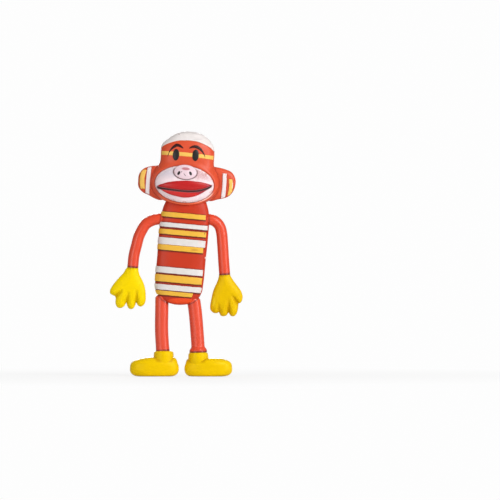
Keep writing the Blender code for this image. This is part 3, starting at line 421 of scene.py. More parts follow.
usualLook = {"bump": 0.03, "coat": 0.0, "coatRoughness": 0.3, "gloss": 0.35, "tint": white,
             "metallic": 0.0, "masks": (), "spots": ()}
vinyl = {
    "group": makeMottle(), "mask": ("Crease", "crease"),
    "colours": {"Colour": "colour", "Crease Colour": "crease"},
    "values": {"Mottle": "mottle", "Roughness": "roughness"},
    "usual": usualLook,
}
paint = {
    "group": makeWornPaint(), "mask": ("Rim", "rim"),
    "colours": {"Paint": "colour", "Under": "under", "Line Colour": "line"},
    "values": {"Line From": "lineFrom", "Wear": "wear", "Roughness": "roughness"},
    "usual": {**usualLook, "roughness": 0.48},
}


def makeFinish(name, kind, look):
    # The kind's group, then the look's masks and spots on its colour, and the shader.
    look = {**kind["usual"], **look}
    material, tree, shader = startMaterial(name)
    place = readMask(tree, "restPlace", "Vector")
    label, mask = kind["mask"]
    surface = addGroup(tree, kind["group"], {
        "Place": place, label: readMask(tree, mask),
        **{socket: fromScreen(look[key]) for socket, key in kind["colours"].items()},
        **{socket: look[key] for socket, key in kind["values"].items()}})
    colour = addMasks(tree, place, surface["Colour"], look["masks"])
    colour = addSpots(tree, place, colour, look["spots"])
    finishMaterial(tree, shader, colour, surface["Roughness"], surface["Height"], look)
    return material


darkRed = (110, 30, 20)
paintedLegHighlight = (252, 205, 195)
yellowTint = (255, 226, 120)
wornRed = (190, 66, 30)
paleRed = (214, 150, 140)
brownLine = (150, 84, 70)
lipPurple = (150, 26, 84)
paintedLipHighlight = (246, 214, 214)
# A painted highlight at the outer edge of the yellow band on the doll's left ear.
bandEdgeHighlight = ((246, 234, 214), 32.3, 108.5, 0.80, 3.6, 0.75)
# Each crease colour is the painted shade that the crease masks lay on the vinyl.
vinylLooks = {
    # The torso's first spot is painted light on its bottom, which faces downwards.
    "torsoVinyl": {"colour": (191, 50, 18), "crease": (92, 28, 16), "mottle": 0.18, "roughness": 0.42,
                   "gloss": 0.28, "spots": (((232, 74, 26), 2.6, 42.9, 8.6, 2.0, 0.9),
                                            ((246, 226, 220), 16.25, 67.5, 0.40, 0.75, 0.9))},
    # On the head, the first mask is painted light on the rim's underside, and the second is a painted
    # highlight on the rim beside the muzzle.
    "headVinyl": {"colour": (211, 76, 41), "crease": (138, 40, 24), "mottle": 0.20, "roughness": 0.40,
                  "coat": 0.05, "masks": (("glow", (255, 122, 82), 1.0, 0.0),
                                          ("rimHighlight", (250, 220, 204), 0.80, 0.2))},
    "armVinyl": {"colour": (220, 68, 34), "crease": darkRed, "mottle": 0.12, "roughness": 0.34,
                 "bump": 0.02, "coat": 0.3},
    # Its two spots are painted highlights at the tops of the legs.
    "legVinyl": {"colour": (222, 72, 42), "crease": darkRed, "mottle": 0.12, "roughness": 0.34,
                 "bump": 0.02, "coat": 0.3, "spots": ((paintedLegHighlight, -6.4, 43.2, 0.40, 1.2, 0.35),
                                                      (paintedLegHighlight, 8.6, 44.3, 0.45, 1.3, 0.35))},
    "rightGloveVinyl": {"colour": (240, 208, 0), "crease": (170, 118, 0), "mottle": 0.16,
                        "roughness": 0.38, "tint": yellowTint},
    "leftGloveVinyl": {"colour": (224, 182, 0), "crease": (160, 104, 0), "mottle": 0.22,
                       "roughness": 0.38, "tint": yellowTint,
                       "spots": (((70, 50, 20), 25.0, 35.8, 0.35, 0.25, 0.8),
                                 ((246, 216, 40), 20.6, 43.0, 1.4, 3.2, 0.5))},
    "shoeVinyl": {"colour": (234, 194, 0), "crease": (170, 114, 0), "mottle": 0.20, "roughness": 0.36,
                  "tint": yellowTint},
}
paintLooks = {
    "yellowPaint": {"colour": (229, 177, 56), "under": wornRed, "line": (160, 84, 26), "lineFrom": 0.90,
                    "wear": 0.46, "spots": (((60, 30, 20), 15.8, 81.2, 0.38, 0.30, 0.9), bandEdgeHighlight,
                                            ((170, 104, 40), 10.0, 72.0, 2.6, 0.35, 0.6))},
    "whitePaint": {"colour": (218, 213, 210), "under": (206, 120, 96), "line": brownLine, "lineFrom": 0.94,
                   "wear": 0.36, "spots": (((236, 196, 190), 13.2, 76.6, 1.2, 1.0, 0.35),)},
    "palePaint": {"colour": (236, 187, 86), "under": wornRed, "line": (170, 96, 36), "lineFrom": 0.92,
                  "wear": 0.40, "spots": (bandEdgeHighlight,)},
    "bandPaint": {"colour": (230, 220, 220), "under": (214, 150, 134), "line": brownLine,
                  "lineFrom": 0.94, "wear": 0.34},
    "capPaint": {"colour": (226, 218, 215), "under": (214, 140, 116), "line": (196, 150, 110),
                 "lineFrom": 0.92, "wear": 0.30, "spots": (((120, 70, 70), 1.3, 137.9, 0.35, 0.3, 0.7),
                                                           ((205, 196, 196), 12.0, 135.0, 3.5, 0.5, 0.5),
                                                           ((216, 198, 150), -7.6, 129.6, 1.4, 1.6, 0.5))},
    "muzzlePaint": {"colour": (240, 220, 224), "under": paleRed, "line": (120, 44, 34),
                    "lineFrom": 0.975, "wear": 0.2, "roughness": 0.5, "bump": 0.04,
                    "masks": (("shade", (184, 128, 130), 0.76, 0.6), ("haze", (190, 184, 198), 0.55, 0.3),
                              ("mouth", (66, 2, 4), 1.0, 0.0))},
    "nosePaint": {"colour": (226, 200, 208), "under": paleRed, "line": (70, 30, 30), "lineFrom": 0.925,
                  "wear": 0.2, "roughness": 0.45, "coat": 0.1,
                  "masks": (("blush", (186, 104, 112), 0.9, 0.1), ("nostril", (20, 12, 14), 1.0, 0.0))},
    "upperLipPaint": {"colour": (184, 14, 16), "under": (216, 90, 84), "line": (110, 14, 18),
                      "lineFrom": 0.92, "wear": 0.20, "roughness": 0.36, "coat": 0.15,
                      "spots": ((lipPurple, -12.0, 108.0, 1.4, 1.2, 0.4),
                                ((150, 20, 60), 19.0, 108.6, 3.0, 1.5, 0.5))},
    "lowerLipPaint": {"colour": (200, 34, 32), "under": (226, 110, 110), "line": (120, 20, 22),
                      "lineFrom": 0.93, "wear": 0.24, "roughness": 0.34, "coat": 0.2,
                      "spots": ((lipPurple, -9.6, 107.2, 2.4, 1.2, 0.4),
                                ((136, 16, 50), 14.5, 105.6, 4.6, 2.2, 0.6),
                                # Three painted highlights along the lower lip's lower edge.
                                (paintedLipHighlight, -6.2, 103.8, 0.42, 0.20, 0.8),
                                (paintedLipHighlight, -3.4, 102.8, 0.55, 0.16, 0.8),
                                (paintedLipHighlight, -1.0, 102.3, 0.35, 0.16, 0.7))},
    "eyePaint": {"colour": (24, 20, 20), "under": (60, 40, 36), "line": (60, 32, 26), "lineFrom": 0.95,
                 "wear": 0.0, "roughness": 0.42, "bump": 0.01, "coat": 0.05},
    "browPaint": {"colour": (46, 4, 2), "under": (120, 40, 30), "line": (52, 14, 14), "lineFrom": 0.99,
                  "wear": 0.1, "roughness": 0.4, "bump": 0.01},
}
wireLook = {**usualLook, "bump": 0.01, "metallic": 1.0, "scale": 2400.0, "spread": 0.2, "grey": 0.42,
            "roughness": 0.4}


def makeSteel():
    # Drawn wire: a grey and a roughness that vary a little with fine noise.
    material, tree, shader = startMaterial("drawnWire")
    fine = noise(tree, readMask(tree, "restPlace", "Vector"), wireLook["scale"])
    grey = greyColour(tree, around(tree, fine, wireLook["spread"], wireLook["grey"]))
    rough = around(tree, fine, wireLook["spread"], wireLook["roughness"])
    finishMaterial(tree, shader, grey, rough, fine, wireLook)
    return material


finish = {name: makeFinish(name, vinyl, look) for name, look in vinylLooks.items()}
finish.update({name: makeFinish(name, paint, look) for name, look in paintLooks.items()})
finish["drawnWire"] = makeSteel()
print("materials made")

# Torso: a flat slab that leans, in the CAD's own sizes

torso = {
    "middleY": 0.0030, "crotch": (0.0002, 0.0408), "lean": 5.2, "length": 0.0577,
    "halfWidth": 0.0135, "halfDepth": 0.0052, "squareness": 2.8, "skin": 0.25 * mm, "points": 144,
    "rowHeight": 0.22 * mm, "leastRows": 12,
    # Height, half width and half depth, as shares of the torso's
    "shares": ((0.000, 0.10, 0.50), (0.006, 0.27, 0.66), (0.014, 0.42, 0.78), (0.030, 0.60, 0.89),
               (0.057, 0.74, 0.96), (0.087, 0.86, 0.99), (0.147, 0.97, 1.00), (0.225, 1.00, 1.00),
               (0.450, 1.01, 1.00), (0.750, 1.02, 1.00), (0.860, 1.00, 1.00), (0.920, 0.97, 1.00),
               (0.960, 0.93, 0.99), (1.000, 0.87, 0.96), (1.040, 0.80, 0.92), (1.070, 0.74, 0.88)),
    # Heights where the bends start and end and where the skins meet, as shares of the length
    "bottom": 0.0, "waistLow": 0.371, "waistHigh": 0.523, "chestEnd": 0.890, "tiltStart": 0.905,
    "tiltEnd": 0.9625, "nodEnd": 1.022, "neckEnd": 1.055,
    # Each skin: where it runs, the nodes it stands for, its two bodies and its bend; and inside it a
    # length of the spine's wire, with the heights that it runs through
    "stretches": (
        ("torsoSkin", "bottom", "chestEnd", ("pelvis", "waist", "chest"), ("pelvis", "chest"),
         ("waistLow", "waistHigh"), "waistWire", (0.10, 0.45, "chestEnd")),
        ("lowNeck", "chestEnd", "tiltEnd", ("neck",), ("chest", "neck"),
         ("tiltStart", "tiltEnd"), "lowNeckWire", ("chestEnd", 0.94, "tiltEnd")),
        ("highNeck", "tiltEnd", "neckEnd", ("neck",), ("neck", "head"),
         ("tiltEnd", "nodEnd"), "highNeckWire", ("tiltEnd", 1.1, 1.3)),
    ),
}
torsoAcross, torsoUp = leanFrame(torso["lean"])
crotch = np.array((torso["crotch"][0], torso["middleY"], torso["crotch"][1]))


def torsoPoint(share):
    return crotch + share * torso["length"] * torsoUp


def torsoSurface(turn, share, grow):
    # middle + (W w + g) ovalX across + (D d + g) ovalY deep, where w and d are read at the height.
    turn, share = np.broadcast_arrays(turn, share)
    width, depth = readTable(torso["shares"], share)
    x, y = unitOval(turn, torso["squareness"])
    return (crotch + (share * torso["length"])[..., None] * torsoUp
            + ((torso["halfWidth"] * width + grow) * x)[..., None] * torsoAcross
            + ((torso["halfDepth"] * depth + grow) * y)[..., None] * deep)


# Stripes, from the front over the doll's right side to the back: paint, lower and upper edge as
# shares of the torso's length, and where both ends stop as a share of its half width
stripe = {
    "rise": 0.32 * mm, "edgeRise": 0.35, "corner": 0.16 * mm, "sink": 0.25 * mm, "rim": 0.75 * mm,
    "fine": 2400, "sections": 150, "end": 0.8 * mm,
    "endSteps": (0.0, 0.05 * mm, 0.12 * mm, 0.25 * mm, 0.5 * mm),
    "across": (0.0, 0.0, 0.04, 0.10, 0.20, 0.35, 0.5, 0.65, 0.80, 0.90, 0.96, 1.0, 1.0),
    # Its edges are a little uneven: waves per metre, their shift by the edge's height and their size
    "wobble": 0.0012, "lowWave": (900, 50, 1.0), "highWave": (2300, 90, 0.6),
    "shares": {
        "stripe_yellow_5": ("yellowPaint", 0.084, 0.127, 0.65),
        "stripe_white_4": ("whitePaint", 0.134, 0.190, 0.945),
        "stripe_yellow_4": ("yellowPaint", 0.215, 0.286, 0.915),
        "stripe_white_3": ("whitePaint", 0.302, 0.364, 0.915),
        "stripe_yellow_3": ("yellowPaint", 0.528, 0.583, 0.845),
        "stripe_white_2": ("whitePaint", 0.583, 0.653, 0.905),
        "stripe_yellow_2": ("yellowPaint", 0.685, 0.736, 0.900),
        "stripe_white_1": ("whitePaint", 0.757, 0.802, 0.940),
        "stripe_yellow_1": ("yellowPaint", 0.857, 0.906, 0.845),
    },
    # Painted shade below and above each stripe: the way from its edge, the width and the strength
    "below": (-0.32 * mm, 0.50 * mm, 1.0), "above": (0.10 * mm, 0.30 * mm, 0.75), "lineFade": 0.03,
}


def stripeShade(share, x):
    # Painted shade: a dark line just under each stripe and a fainter one above it, as far as the stripe
    # reaches.
    shade = np.zeros(np.shape(share))
    for _, low, high, end in stripe["shares"].values():
        reach = ease(end + stripe["lineFade"], end, x)
        for edge, (away, width, strength) in ((low, stripe["below"]), (high, stripe["above"])):
            line = ridge((share - edge) * torso["length"], away, width)
            shade = np.maximum(shade, line * strength * reach)
    return shade


def makeTorsoSkin(name, low, high):
    turn = evenTurns(torso["points"], torso["halfWidth"], torso["halfDepth"], torso["squareness"])
    rows = max(torso["leastRows"], int((high - low) * torso["length"] / torso["rowHeight"]))
    share = np.linspace(low, high, rows)[:, None]
    points = torsoSurface(turn, share, torso["skin"])
    x = np.broadcast_to(unitOval(turn, torso["squareness"])[0], points.shape[:2])
    # Painted shade along the stripes' edges.
    crease = stripeShade(np.broadcast_to(share, x.shape), x)
    return loft(name, points, finish["torsoVinyl"], {"crease": crease})


def makeStripe(name, paintName, low, high, end):
    # Along it runs the turn round the torso, across it a low arch with round corners: the rise is
    # e + (1 - e) (1 - (1 - d / c)^2)^0.5 at the way d from its edge. Its edges sink in.
    start = math.acos(end ** (torso["squareness"] / 2))
    turns = -np.linspace(start, 2 * math.pi - start, stripe["fine"])
    reached = reachedAlong(torsoSurface(turns, (low + high) / 2, 0.0))
    edge = np.array(stripe["endSteps"])
    along = np.linspace(stripe["end"], reached[-1] - stripe["end"], stripe["sections"])
    along = np.concatenate((edge, along, reached[-1] - edge[::-1]))
    turn = np.interp(along, reached, turns)[:, None]
    height = (high - low) * torso["length"]
    v = np.array(stripe["across"])[None, :]
    fromEdge = np.minimum(np.minimum(v, 1 - v) * height, np.minimum(along, reached[-1] - along)[:, None])
    corner = np.clip(fromEdge / stripe["corner"], 0, 1)
    lift = stripe["rise"] * (stripe["edgeRise"] + (1 - stripe["edgeRise"]) * np.sqrt(1 - (1 - corner) ** 2))
    lift[:, (0, -1)] = -stripe["sink"]
    waves = [size * np.sin(along * often + edgeShare * shift)
             for (often, shift, size), edgeShare in ((stripe["lowWave"], low), (stripe["highWave"], high))]
    wobble = stripe["wobble"] * sum(waves)[:, None]
    share = low + v * (high - low) + wobble * (v - 0.5)
    points = torsoSurface(turn, share, torso["skin"] + lift)
    return loft(name, points, finish[paintName],
                {"rim": 1 - fromEdge / stripe["rim"]}, crease=meshing["smoothRelief"])


for name, low, high, nodes, bodies, bend, _, _ in torso["stretches"]:
    skin = makeTorsoSkin(name, torso[low], torso[high])
    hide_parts(*nodes)
    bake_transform(skin)
for node, (paintName, low, high, end) in stripe["shares"].items():
    settle(makeStripe(node.replace("_", "-"), paintName, low, high, end),
           "pelvis" if high < torso["waistLow"] else "chest", node)
print("torso made")

# Arms and legs: round tubes on the CAD's centre lines

# Each limb comes in pieces that cross one joint: its name, the two bodies, where the piece starts
# and ends and where its bend does, as shares of the limb's length, and the nodes it stands for
arm = {
    "radius": 0.00315, "points": 40, "vinyl": "armVinyl", "wire": "arm_wire",
    "root": {"right": 0.832, "left": 0.868}, "reach": {"right": 0.0161, "left": 0.0091},
    "drop": {"right": 0.0276, "left": 0.0313}, "flare": {"right": 0.0, "left": 0.0},
    # The centre line from root to wrist, as shares of its reach and drop
    "route": {
        "right": ((0.00, 0.00), (0.28, 0.03), (0.53, 0.11), (0.69, 0.25), (0.78, 0.36), (0.86, 0.53),
                  (0.96, 0.77), (1.00, 1.00)),
        "left": ((0.00, 0.00), (0.30, 0.02), (0.58, 0.08), (0.74, 0.16), (0.81, 0.25), (0.87, 0.44),
                 (0.93, 0.72), (1.00, 1.00)),
    },
    "pieces": (
        ("shoulderRaise", "chest", "shoulder", (-0.12, 0.209), (0.012, 0.209), ("shoulder",)),
        ("shoulderSwing", "shoulder", "upper_arm", (0.209, 0.460), (0.209, 0.400),
         ("shoulder", "upper_arm")),
        ("elbow", "upper_arm", "forearm", (0.460, 0.790), (0.520, 0.730), ("elbow", "forearm")),
        ("wrist", "forearm", "hand", (0.790, 1.010), (0.850, 0.985), ("wrist",)),
    ),
}
leg = {
    "radius": 0.0038, "points": 44, "vinyl": "legVinyl", "wire": "leg_wire",
    # Sideways places of the centre line at four heights, the hip's first; it ends at the ankle
    "route": {
        "right": ((-0.0085, 0.0449), (-0.0086, 0.0378), (-0.0087, 0.0264), (-0.0083, 0.0184)),
        "left": ((0.0096, 0.0432), (0.0104, 0.0375), (0.0114, 0.0264), (0.0120, 0.0177)),
    },
    "ankle": {"right": -0.0080, "left": 0.0122}, "ankleHeight": {"right": 0.0146, "left": 0.0139},
    "flare": {"right": 0.0001, "left": 0.0012},
    "pieces": (
        ("hipSpread", "pelvis", "hip", (-0.10, 0.114), (0.015, 0.114), ("hip",)),
        ("hipSwing", "hip", "thigh", (0.114, 0.430), (0.114, 0.375), ("hip", "thigh")),
        ("knee", "thigh", "shin", (0.430, 0.825), (0.505, 0.775), ("knee", "shin")),
        ("ankle", "shin", "foot", (0.825, 1.010), (0.900, 1.000), ("ankle",)),
    ),
}
# Shares of the limb's length where its flare starts and is full
limb = {
    "rowWay": 0.28 * mm, "leastRows": 8, "flareStart": 0.90, "flareFull": 0.965,
    # Inside the torso the tube narrows to its root and shifts a little outwards
    "buried": 3.6 * mm, "narrow": 0.75, "shift": 2.2 * mm,
    # The painted shade at its end and round its root: their width and strength
    "endShade": (1.15 * mm, 0.9), "rootShade": (0.40 * mm, 0.75), "slopeStep": 0.002,
}
wire = {
    "radius": 0.75 * mm, "points": 12, "every": 3, "rowWay": 1.0 * mm, "leastRows": 6,
    "behind": 1.4 * mm * deep, "chestEnd": -4.0 * mm, "chestMiddle": 0.85, "pelvisEnd": -1.0 * mm,
    "pelvisMiddle": 0.22,
}


def wayFromSlab(points):
    # How far points of the front view are outside the torso's outline, whose half width is W w(s):
    # (|x| - W w) / (1 + (W w' / L)^2)^0.5
    x = (points - crotch) @ torsoAcross
    share = (points - crotch) @ torsoUp / torso["length"]
    low, step = np.maximum(share, 0.0), limb["slopeStep"]
    width = torso["halfWidth"] * readTable(torso["shares"], low)[0]
    ahead = torso["halfWidth"] * readTable(torso["shares"], low + step)[0]
    slope = (ahead - width) / (step * torso["length"])
    way = (np.abs(x) - width - torso["skin"]) / np.sqrt(1 + slope**2)
    return np.where(share < 0, np.hypot(np.maximum(way, 0), share * torso["length"]), way)


def armRoute(side):
    share, sign = arm["root"][side], sides[side]
    halfWidth = torso["halfWidth"] * float(readTable(torso["shares"], share)[0])
    root = torsoPoint(share) + sign * halfWidth * torsoAcross
    reach = np.array((sign * arm["reach"][side], 0.0, 0.0))
    drop = arm["drop"][side] * up
    return makeRoute([root + out * reach - down * drop for out, down in arm["route"][side]])


def legRoute(side):
    points = [(x, torso["middleY"], z) for x, z in leg["route"][side]]
    return makeRoute(points + [(leg["ankle"][side], torso["middleY"], leg["ankleHeight"][side])])


def makeLimb(side, route, made):
    # One tube and one length of wire for each joint. In the torso the tube's radius is
    # r (1 - n b^2)^0.5, where b runs from 0 to 1 towards its root.
    length = route["length"]
    for part, first, second, reach, bend, nodes in made["pieces"]:
        start, end = np.array(reach) * length
        distances = np.linspace(start, end, max(limb["leastRows"], int((end - start) / limb["rowWay"])))
        flared = np.clip((distances / length - limb["flareStart"])
                         / (limb["flareFull"] - limb["flareStart"]), 0, 1)
        radius = made["radius"] + made["flare"][side] * flared
        buried = np.clip(-distances / limb["buried"], 0, 1)
        rings = tubeRings(route, distances, radius * np.sqrt(1 - limb["narrow"] * buried**2), made["points"])
        rings = rings - (sides[side] * limb["shift"] * buried)[:, None, None] * torsoAcross
        # Painted shade at the tube's end and round its root.
        width, strength = limb["endShade"]
        crease = ease(width, 0.0, length - distances)[:, None] * strength
        width, strength = limb["rootShade"]
        crease = np.maximum(crease, strength * ridge(wayFromSlab(rings), 0.0, width))
        skin = loft(f"{part}-{side}", rings, finish[made["vinyl"]], {"crease": crease})
        core = loft(f"{part}Wire-{side}", tubeRings(route, distances[::wire["every"]], wire["radius"],
                                                    wire["points"]), finish["drawnWire"])
        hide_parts(*[f"{node}_{side}" for node in nodes])
        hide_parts(made["wire"])
        ends = onRoute(route, np.array(bend) * length)[0]
        for piece in (skin, core):
            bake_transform(piece)


def makeWire(name, node, points):
    # A straight or bent length of the wire inside the torso.
    route = makeRoute(points)
    rows = max(wire["leastRows"], int(route["length"] / wire["rowWay"]))
    rings = tubeRings(route, np.linspace(0, route["length"], rows), wire["radius"], wire["points"])
    piece = loft(name, rings, finish["drawnWire"])
    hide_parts(node)
    return piece


arms = {side: armRoute(side) for side in sides}
legs = {side: legRoute(side) for side in sides}
for side in sides:
    makeLimb(side, arms[side], arm)
    makeLimb(side, legs[side], leg)

armEnds = [routePlace(arms[side], wire["chestEnd"]) + wire["behind"] for side in sides]
legEnds = [routePlace(legs[side], wire["pelvisEnd"]) for side in sides]
for name, node, ends, middle, body in (
        ("chestWire", arm["wire"], armEnds, wire["chestMiddle"], "chest"),
        ("pelvisWire", leg["wire"], legEnds, wire["pelvisMiddle"], "pelvis")):
    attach(makeWire(name, node, [ends[0], torsoPoint(middle) + wire["behind"], ends[1]]), body)
for _, _, _, _, bodies, bend, name, heights in torso["stretches"]:
    places = [torsoPoint(torso.get(height, height)) - wire["behind"] for height in heights]
    piece = makeWire(name, "spine_wire", places)
    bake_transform(piece)
print("limbs and wires made")

# Gloves: one rounded form inside an outline, with grooves between the fingers

glove = {
    "length": 0.0246, "thick": 0.116, "back": 0.92, "round": 0.24, "turns": 320, "rings": 56,
    "middle": (0.03, 0.46), "grooveWidth": 0.034, "grooveDepth": 0.75, "grooveFade": 0.8,
    "grooveShade": 0.6, "wristLine": 0.030, "wristShade": 0.45, "far": 9.0,
    # The edge that the thickness is measured from leaves out the cut at the wrist, above this level
    "cut": -0.002,
    # The outline from the wrist round the thumb and the fingers: across away from the body, and
    # down from the wrist, as shares of the length
    "outline": {
        "right": ((0.128, -0.008), (0.136, 0.016), (0.169, 0.050), (0.204, 0.116), (0.264, 0.185),
                  (0.345, 0.269), (0.429, 0.371), (0.496, 0.468), (0.530, 0.547), (0.522, 0.609),
                  (0.473, 0.648), (0.412, 0.675), (0.397, 0.728), (0.403, 0.811), (0.389, 0.885),
                  (0.343, 0.940), (0.278, 0.948), (0.218, 0.922), (0.175, 0.870), (0.150, 0.825),
                  (0.130, 0.890), (0.100, 0.950), (0.042, 0.975), (-0.014, 0.952), (-0.052, 0.895),
                  (-0.080, 0.820), (-0.110, 0.880), (-0.171, 0.915), (-0.227, 0.899), (-0.273, 0.848),
                  (-0.299, 0.769), (-0.301, 0.658), (-0.292, 0.533), (-0.266, 0.417), (-0.218, 0.297),
                  (-0.165, 0.195), (-0.137, 0.102), (-0.129, 0.030), (-0.127, -0.008), (-0.080, -0.010),
                  (0.0, -0.010), (0.080, -0.010)),
        "left": ((0.128, -0.008), (0.131, 0.020), (0.150, 0.058), (0.199, 0.137), (0.264, 0.225),
                 (0.334, 0.317), (0.389, 0.405), (0.418, 0.512), (0.404, 0.605), (0.361, 0.665),
                 (0.324, 0.675), (0.317, 0.735), (0.308, 0.809), (0.285, 0.897), (0.239, 0.960),
                 (0.185, 0.975), (0.134, 0.955), (0.090, 0.890), (0.051, 0.945), (0.000, 0.970),
                 (-0.056, 0.972), (-0.100, 0.945), (-0.134, 0.880), (-0.176, 0.901), (-0.239, 0.899),
                 (-0.292, 0.869), (-0.329, 0.816), (-0.336, 0.735), (-0.320, 0.630), (-0.294, 0.498),
                 (-0.264, 0.382), (-0.222, 0.276), (-0.178, 0.183), (-0.150, 0.104), (-0.134, 0.039),
                 (-0.127, -0.008), (-0.080, -0.010), (0.0, -0.010), (0.080, -0.010)),
    },
    # Grooves: from between two tips up into the palm, and how deep each is
    "grooves": {
        "right": ((0.400, 0.680, 0.235, 0.520, 1.0), (0.152, 0.900, 0.105, 0.560, 1.0),
                  (-0.079, 0.900, -0.085, 0.500, 1.0)),
        "left": ((0.322, 0.700, 0.160, 0.480, 1.0), (0.090, 0.960, 0.088, 0.560, 1.0),
                 (-0.134, 0.930, -0.148, 0.640, 0.6)),
    },
}


def wayToLine(x, z, line):
    # The way from places to a line, and how far along it the nearest point is: t = (p.d) / (d.d).
    x0, z0, x1, z1 = line
    dx, dz = x1 - x0, z1 - z0
    t = np.clip(((x - x0) * dx + (z - z0) * dz) / (dx**2 + dz**2), 0, 1)
    return np.hypot(x - x0 - t * dx, z - z0 - t * dz), t


def smoothLoop(points, steps=12, overlap=4):
    # A closed curve through points: a cubic between each two of them.
    points = np.array(points, float)
    count = len(points)
    around = np.concatenate((points[-overlap:], points, points[:overlap]))
    knots = np.arange(-overlap, count + overlap)
    return readTable(np.column_stack((knots, around)), np.linspace(0, count, count * steps + 1)[:-1]).T


def rayReach(loop, middle, turn):
    # How far each ray from the middle runs before it leaves a closed curve: the first crossing.
    here, after = loop - middle, np.roll(loop, -1, axis=0) - middle
    edge = after - here
    direction = np.column_stack((np.cos(turn), np.sin(turn)))[:, None]
    cross = direction[..., 0] * edge[:, 1] - direction[..., 1] * edge[:, 0]
    tiny = 1e-12
    cross = np.where(np.abs(cross) < tiny, tiny, cross)
    way = (here[:, 0] * edge[:, 1] - here[:, 1] * edge[:, 0]) / cross
    part = (here[:, 0] * direction[..., 1] - here[:, 1] * direction[..., 0]) / cross
    return np.where((way > 0) & (part >= 0) & (part <= 1), way, glove["far"]).min(axis=1)


def makeGlove(side):
    # Height: T (1 - (1 - d / w)^2)^0.5 for the way d to the outline, less each groove's exp(-(g/b)^2).
    size = glove["length"]
    loop = smoothLoop(glove["outline"][side]) * (1, -1)
    middle = np.array(glove["middle"]) * (1, -1)
    turn = 2 * math.pi * (np.arange(glove["turns"]) + 0.5) / glove["turns"]
    reach = rayReach(loop, middle, turn)
    part = np.sin(np.linspace(0.0, math.pi / 2, glove["rings"]))[:, None]
    x = middle[0] + part * reach * np.cos(turn)
    z = np.minimum(middle[1] + part * reach * np.sin(turn), 0.0)
    edge = loop[::2][loop[::2, 1] < glove["cut"]]
    way = np.full(x.shape, glove["far"])
    for here, after in zip(edge[:-1], edge[1:]):
        way = np.minimum(way, wayToLine(x, z, (*here, *after))[0])
    height = glove["thick"] * np.sqrt(1 - (1 - np.clip(way / glove["round"], 0, 1)) ** 2)
    groove = np.zeros(x.shape)
    for x0, z0, x1, z1, strength in glove["grooves"][side]:
        beside, along = wayToLine(x, z, (x0, -z0, x1, -z1))
        fade = strength * (1 - along) ** glove["grooveFade"] * ridge(beside, 0.0, glove["grooveWidth"])
        groove = np.maximum(groove, fade)
    height = height * (1 - groove * glove["grooveDepth"])
    wrist = routePlace(arms[side], arms[side]["length"])
    across = wrist[0] + sides[side] * x * size
    front = np.stack((across, wrist[1] - height * size, wrist[2] + z * size), axis=-1)
    back = np.stack((across, wrist[1] + glove["back"] * height * size, wrist[2] + z * size), axis=-1)
    points = np.concatenate((front, back[::-1]))
    wristLine = ease(glove["wristLine"], 0.0, -z) * glove["wristShade"]
    crease = np.maximum(groove * glove["grooveShade"], wristLine)
    piece = makePiece(f"glove-{side}", points, gridFaces(len(points), glove["turns"]),
                      finish[f"{side}GloveVinyl"],
                      {"crease": np.concatenate((crease, crease[::-1]))}, crease=meshing["smoothRelief"])
    settle(piece, f"hand_{side}", f"hand_{side}")


for side in sides:
    makeGlove(side)
print("gloves made")

# Shoes: a bulb that lies sideways, and an ankle cuff that stands in it and is as tall as the ankle

shoe = {
    "toe": {"right": 0.0189, "left": 0.0193}, "heel": {"right": 0.0090, "left": 0.0079},
    "middle": {"right": -0.0078, "left": 0.0122},
    "halfDepth": 0.0060, "squareness": 2.3, "points": 96, "toeLift": {"right": 0.035, "left": 0.075},
    "rows": ((0, 0.13, 22), (0.14, 0.60, 40), (0.605, 0.75, 34)),
    # Height, toe reach, heel reach and depth, as shares of the ankle's height and the shoe's sizes
    "shares": ((0.000, 0.720, 0.500, 0.640), (0.010, 0.800, 0.630, 0.750), (0.030, 0.865, 0.735, 0.835),
               (0.070, 0.925, 0.840, 0.905), (0.130, 0.970, 0.925, 0.955), (0.220, 1.000, 0.985, 0.990),
               (0.330, 1.000, 1.000, 1.000), (0.430, 0.985, 0.975, 1.000), (0.520, 0.945, 0.915, 0.975),
               (0.590, 0.880, 0.890, 0.930), (0.640, 0.790, 0.855, 0.870), (0.680, 0.670, 0.820, 0.790),
               (0.710, 0.490, 0.770, 0.690), (0.735, 0.260, 0.660, 0.560), (0.750, 0.060, 0.400, 0.320)),
    # The toe is deeper than the heel, its outline stands higher by the toe lift, and its upper sinks
    # towards the tip: by how much, and from where to where along the toe and up the shoe
    "heelDepth": 0.93, "deepBy": 0.6, "sink": 0.03, "sinkAlong": (0.25, 1.0), "sinkUp": (0.45, 0.76),
    "liftUp": (0.2, 0.5),
    # Painted shade round the cuff's foot and above the sole: their places and strengths
    "cuffShade": (5.9 * mm, 0.7 * mm, 0.6), "cuffShadeUp": (0.5, 0.62), "soleShade": (0.05, 0.5),
}
cuff = {
    "shift": {"right": 0.0005, "left": 0.0}, "depth": 0.95, "rows": ((0.40, 0.88, 24), (0.885, 1.0, 18)),
    # Height as a share of the ankle's, and radius
    "radii": ((0.40, 0.0052), (0.60, 0.0056), (0.75, 0.0057), (0.88, 0.0056), (0.95, 0.0053),
              (0.985, 0.0047), (1.0, 0.0040)),
    # Painted shade at the cuff's top, where the leg goes in: where it starts and is full, and its strength
    "line": (0.975, 1.0, 0.7),
}


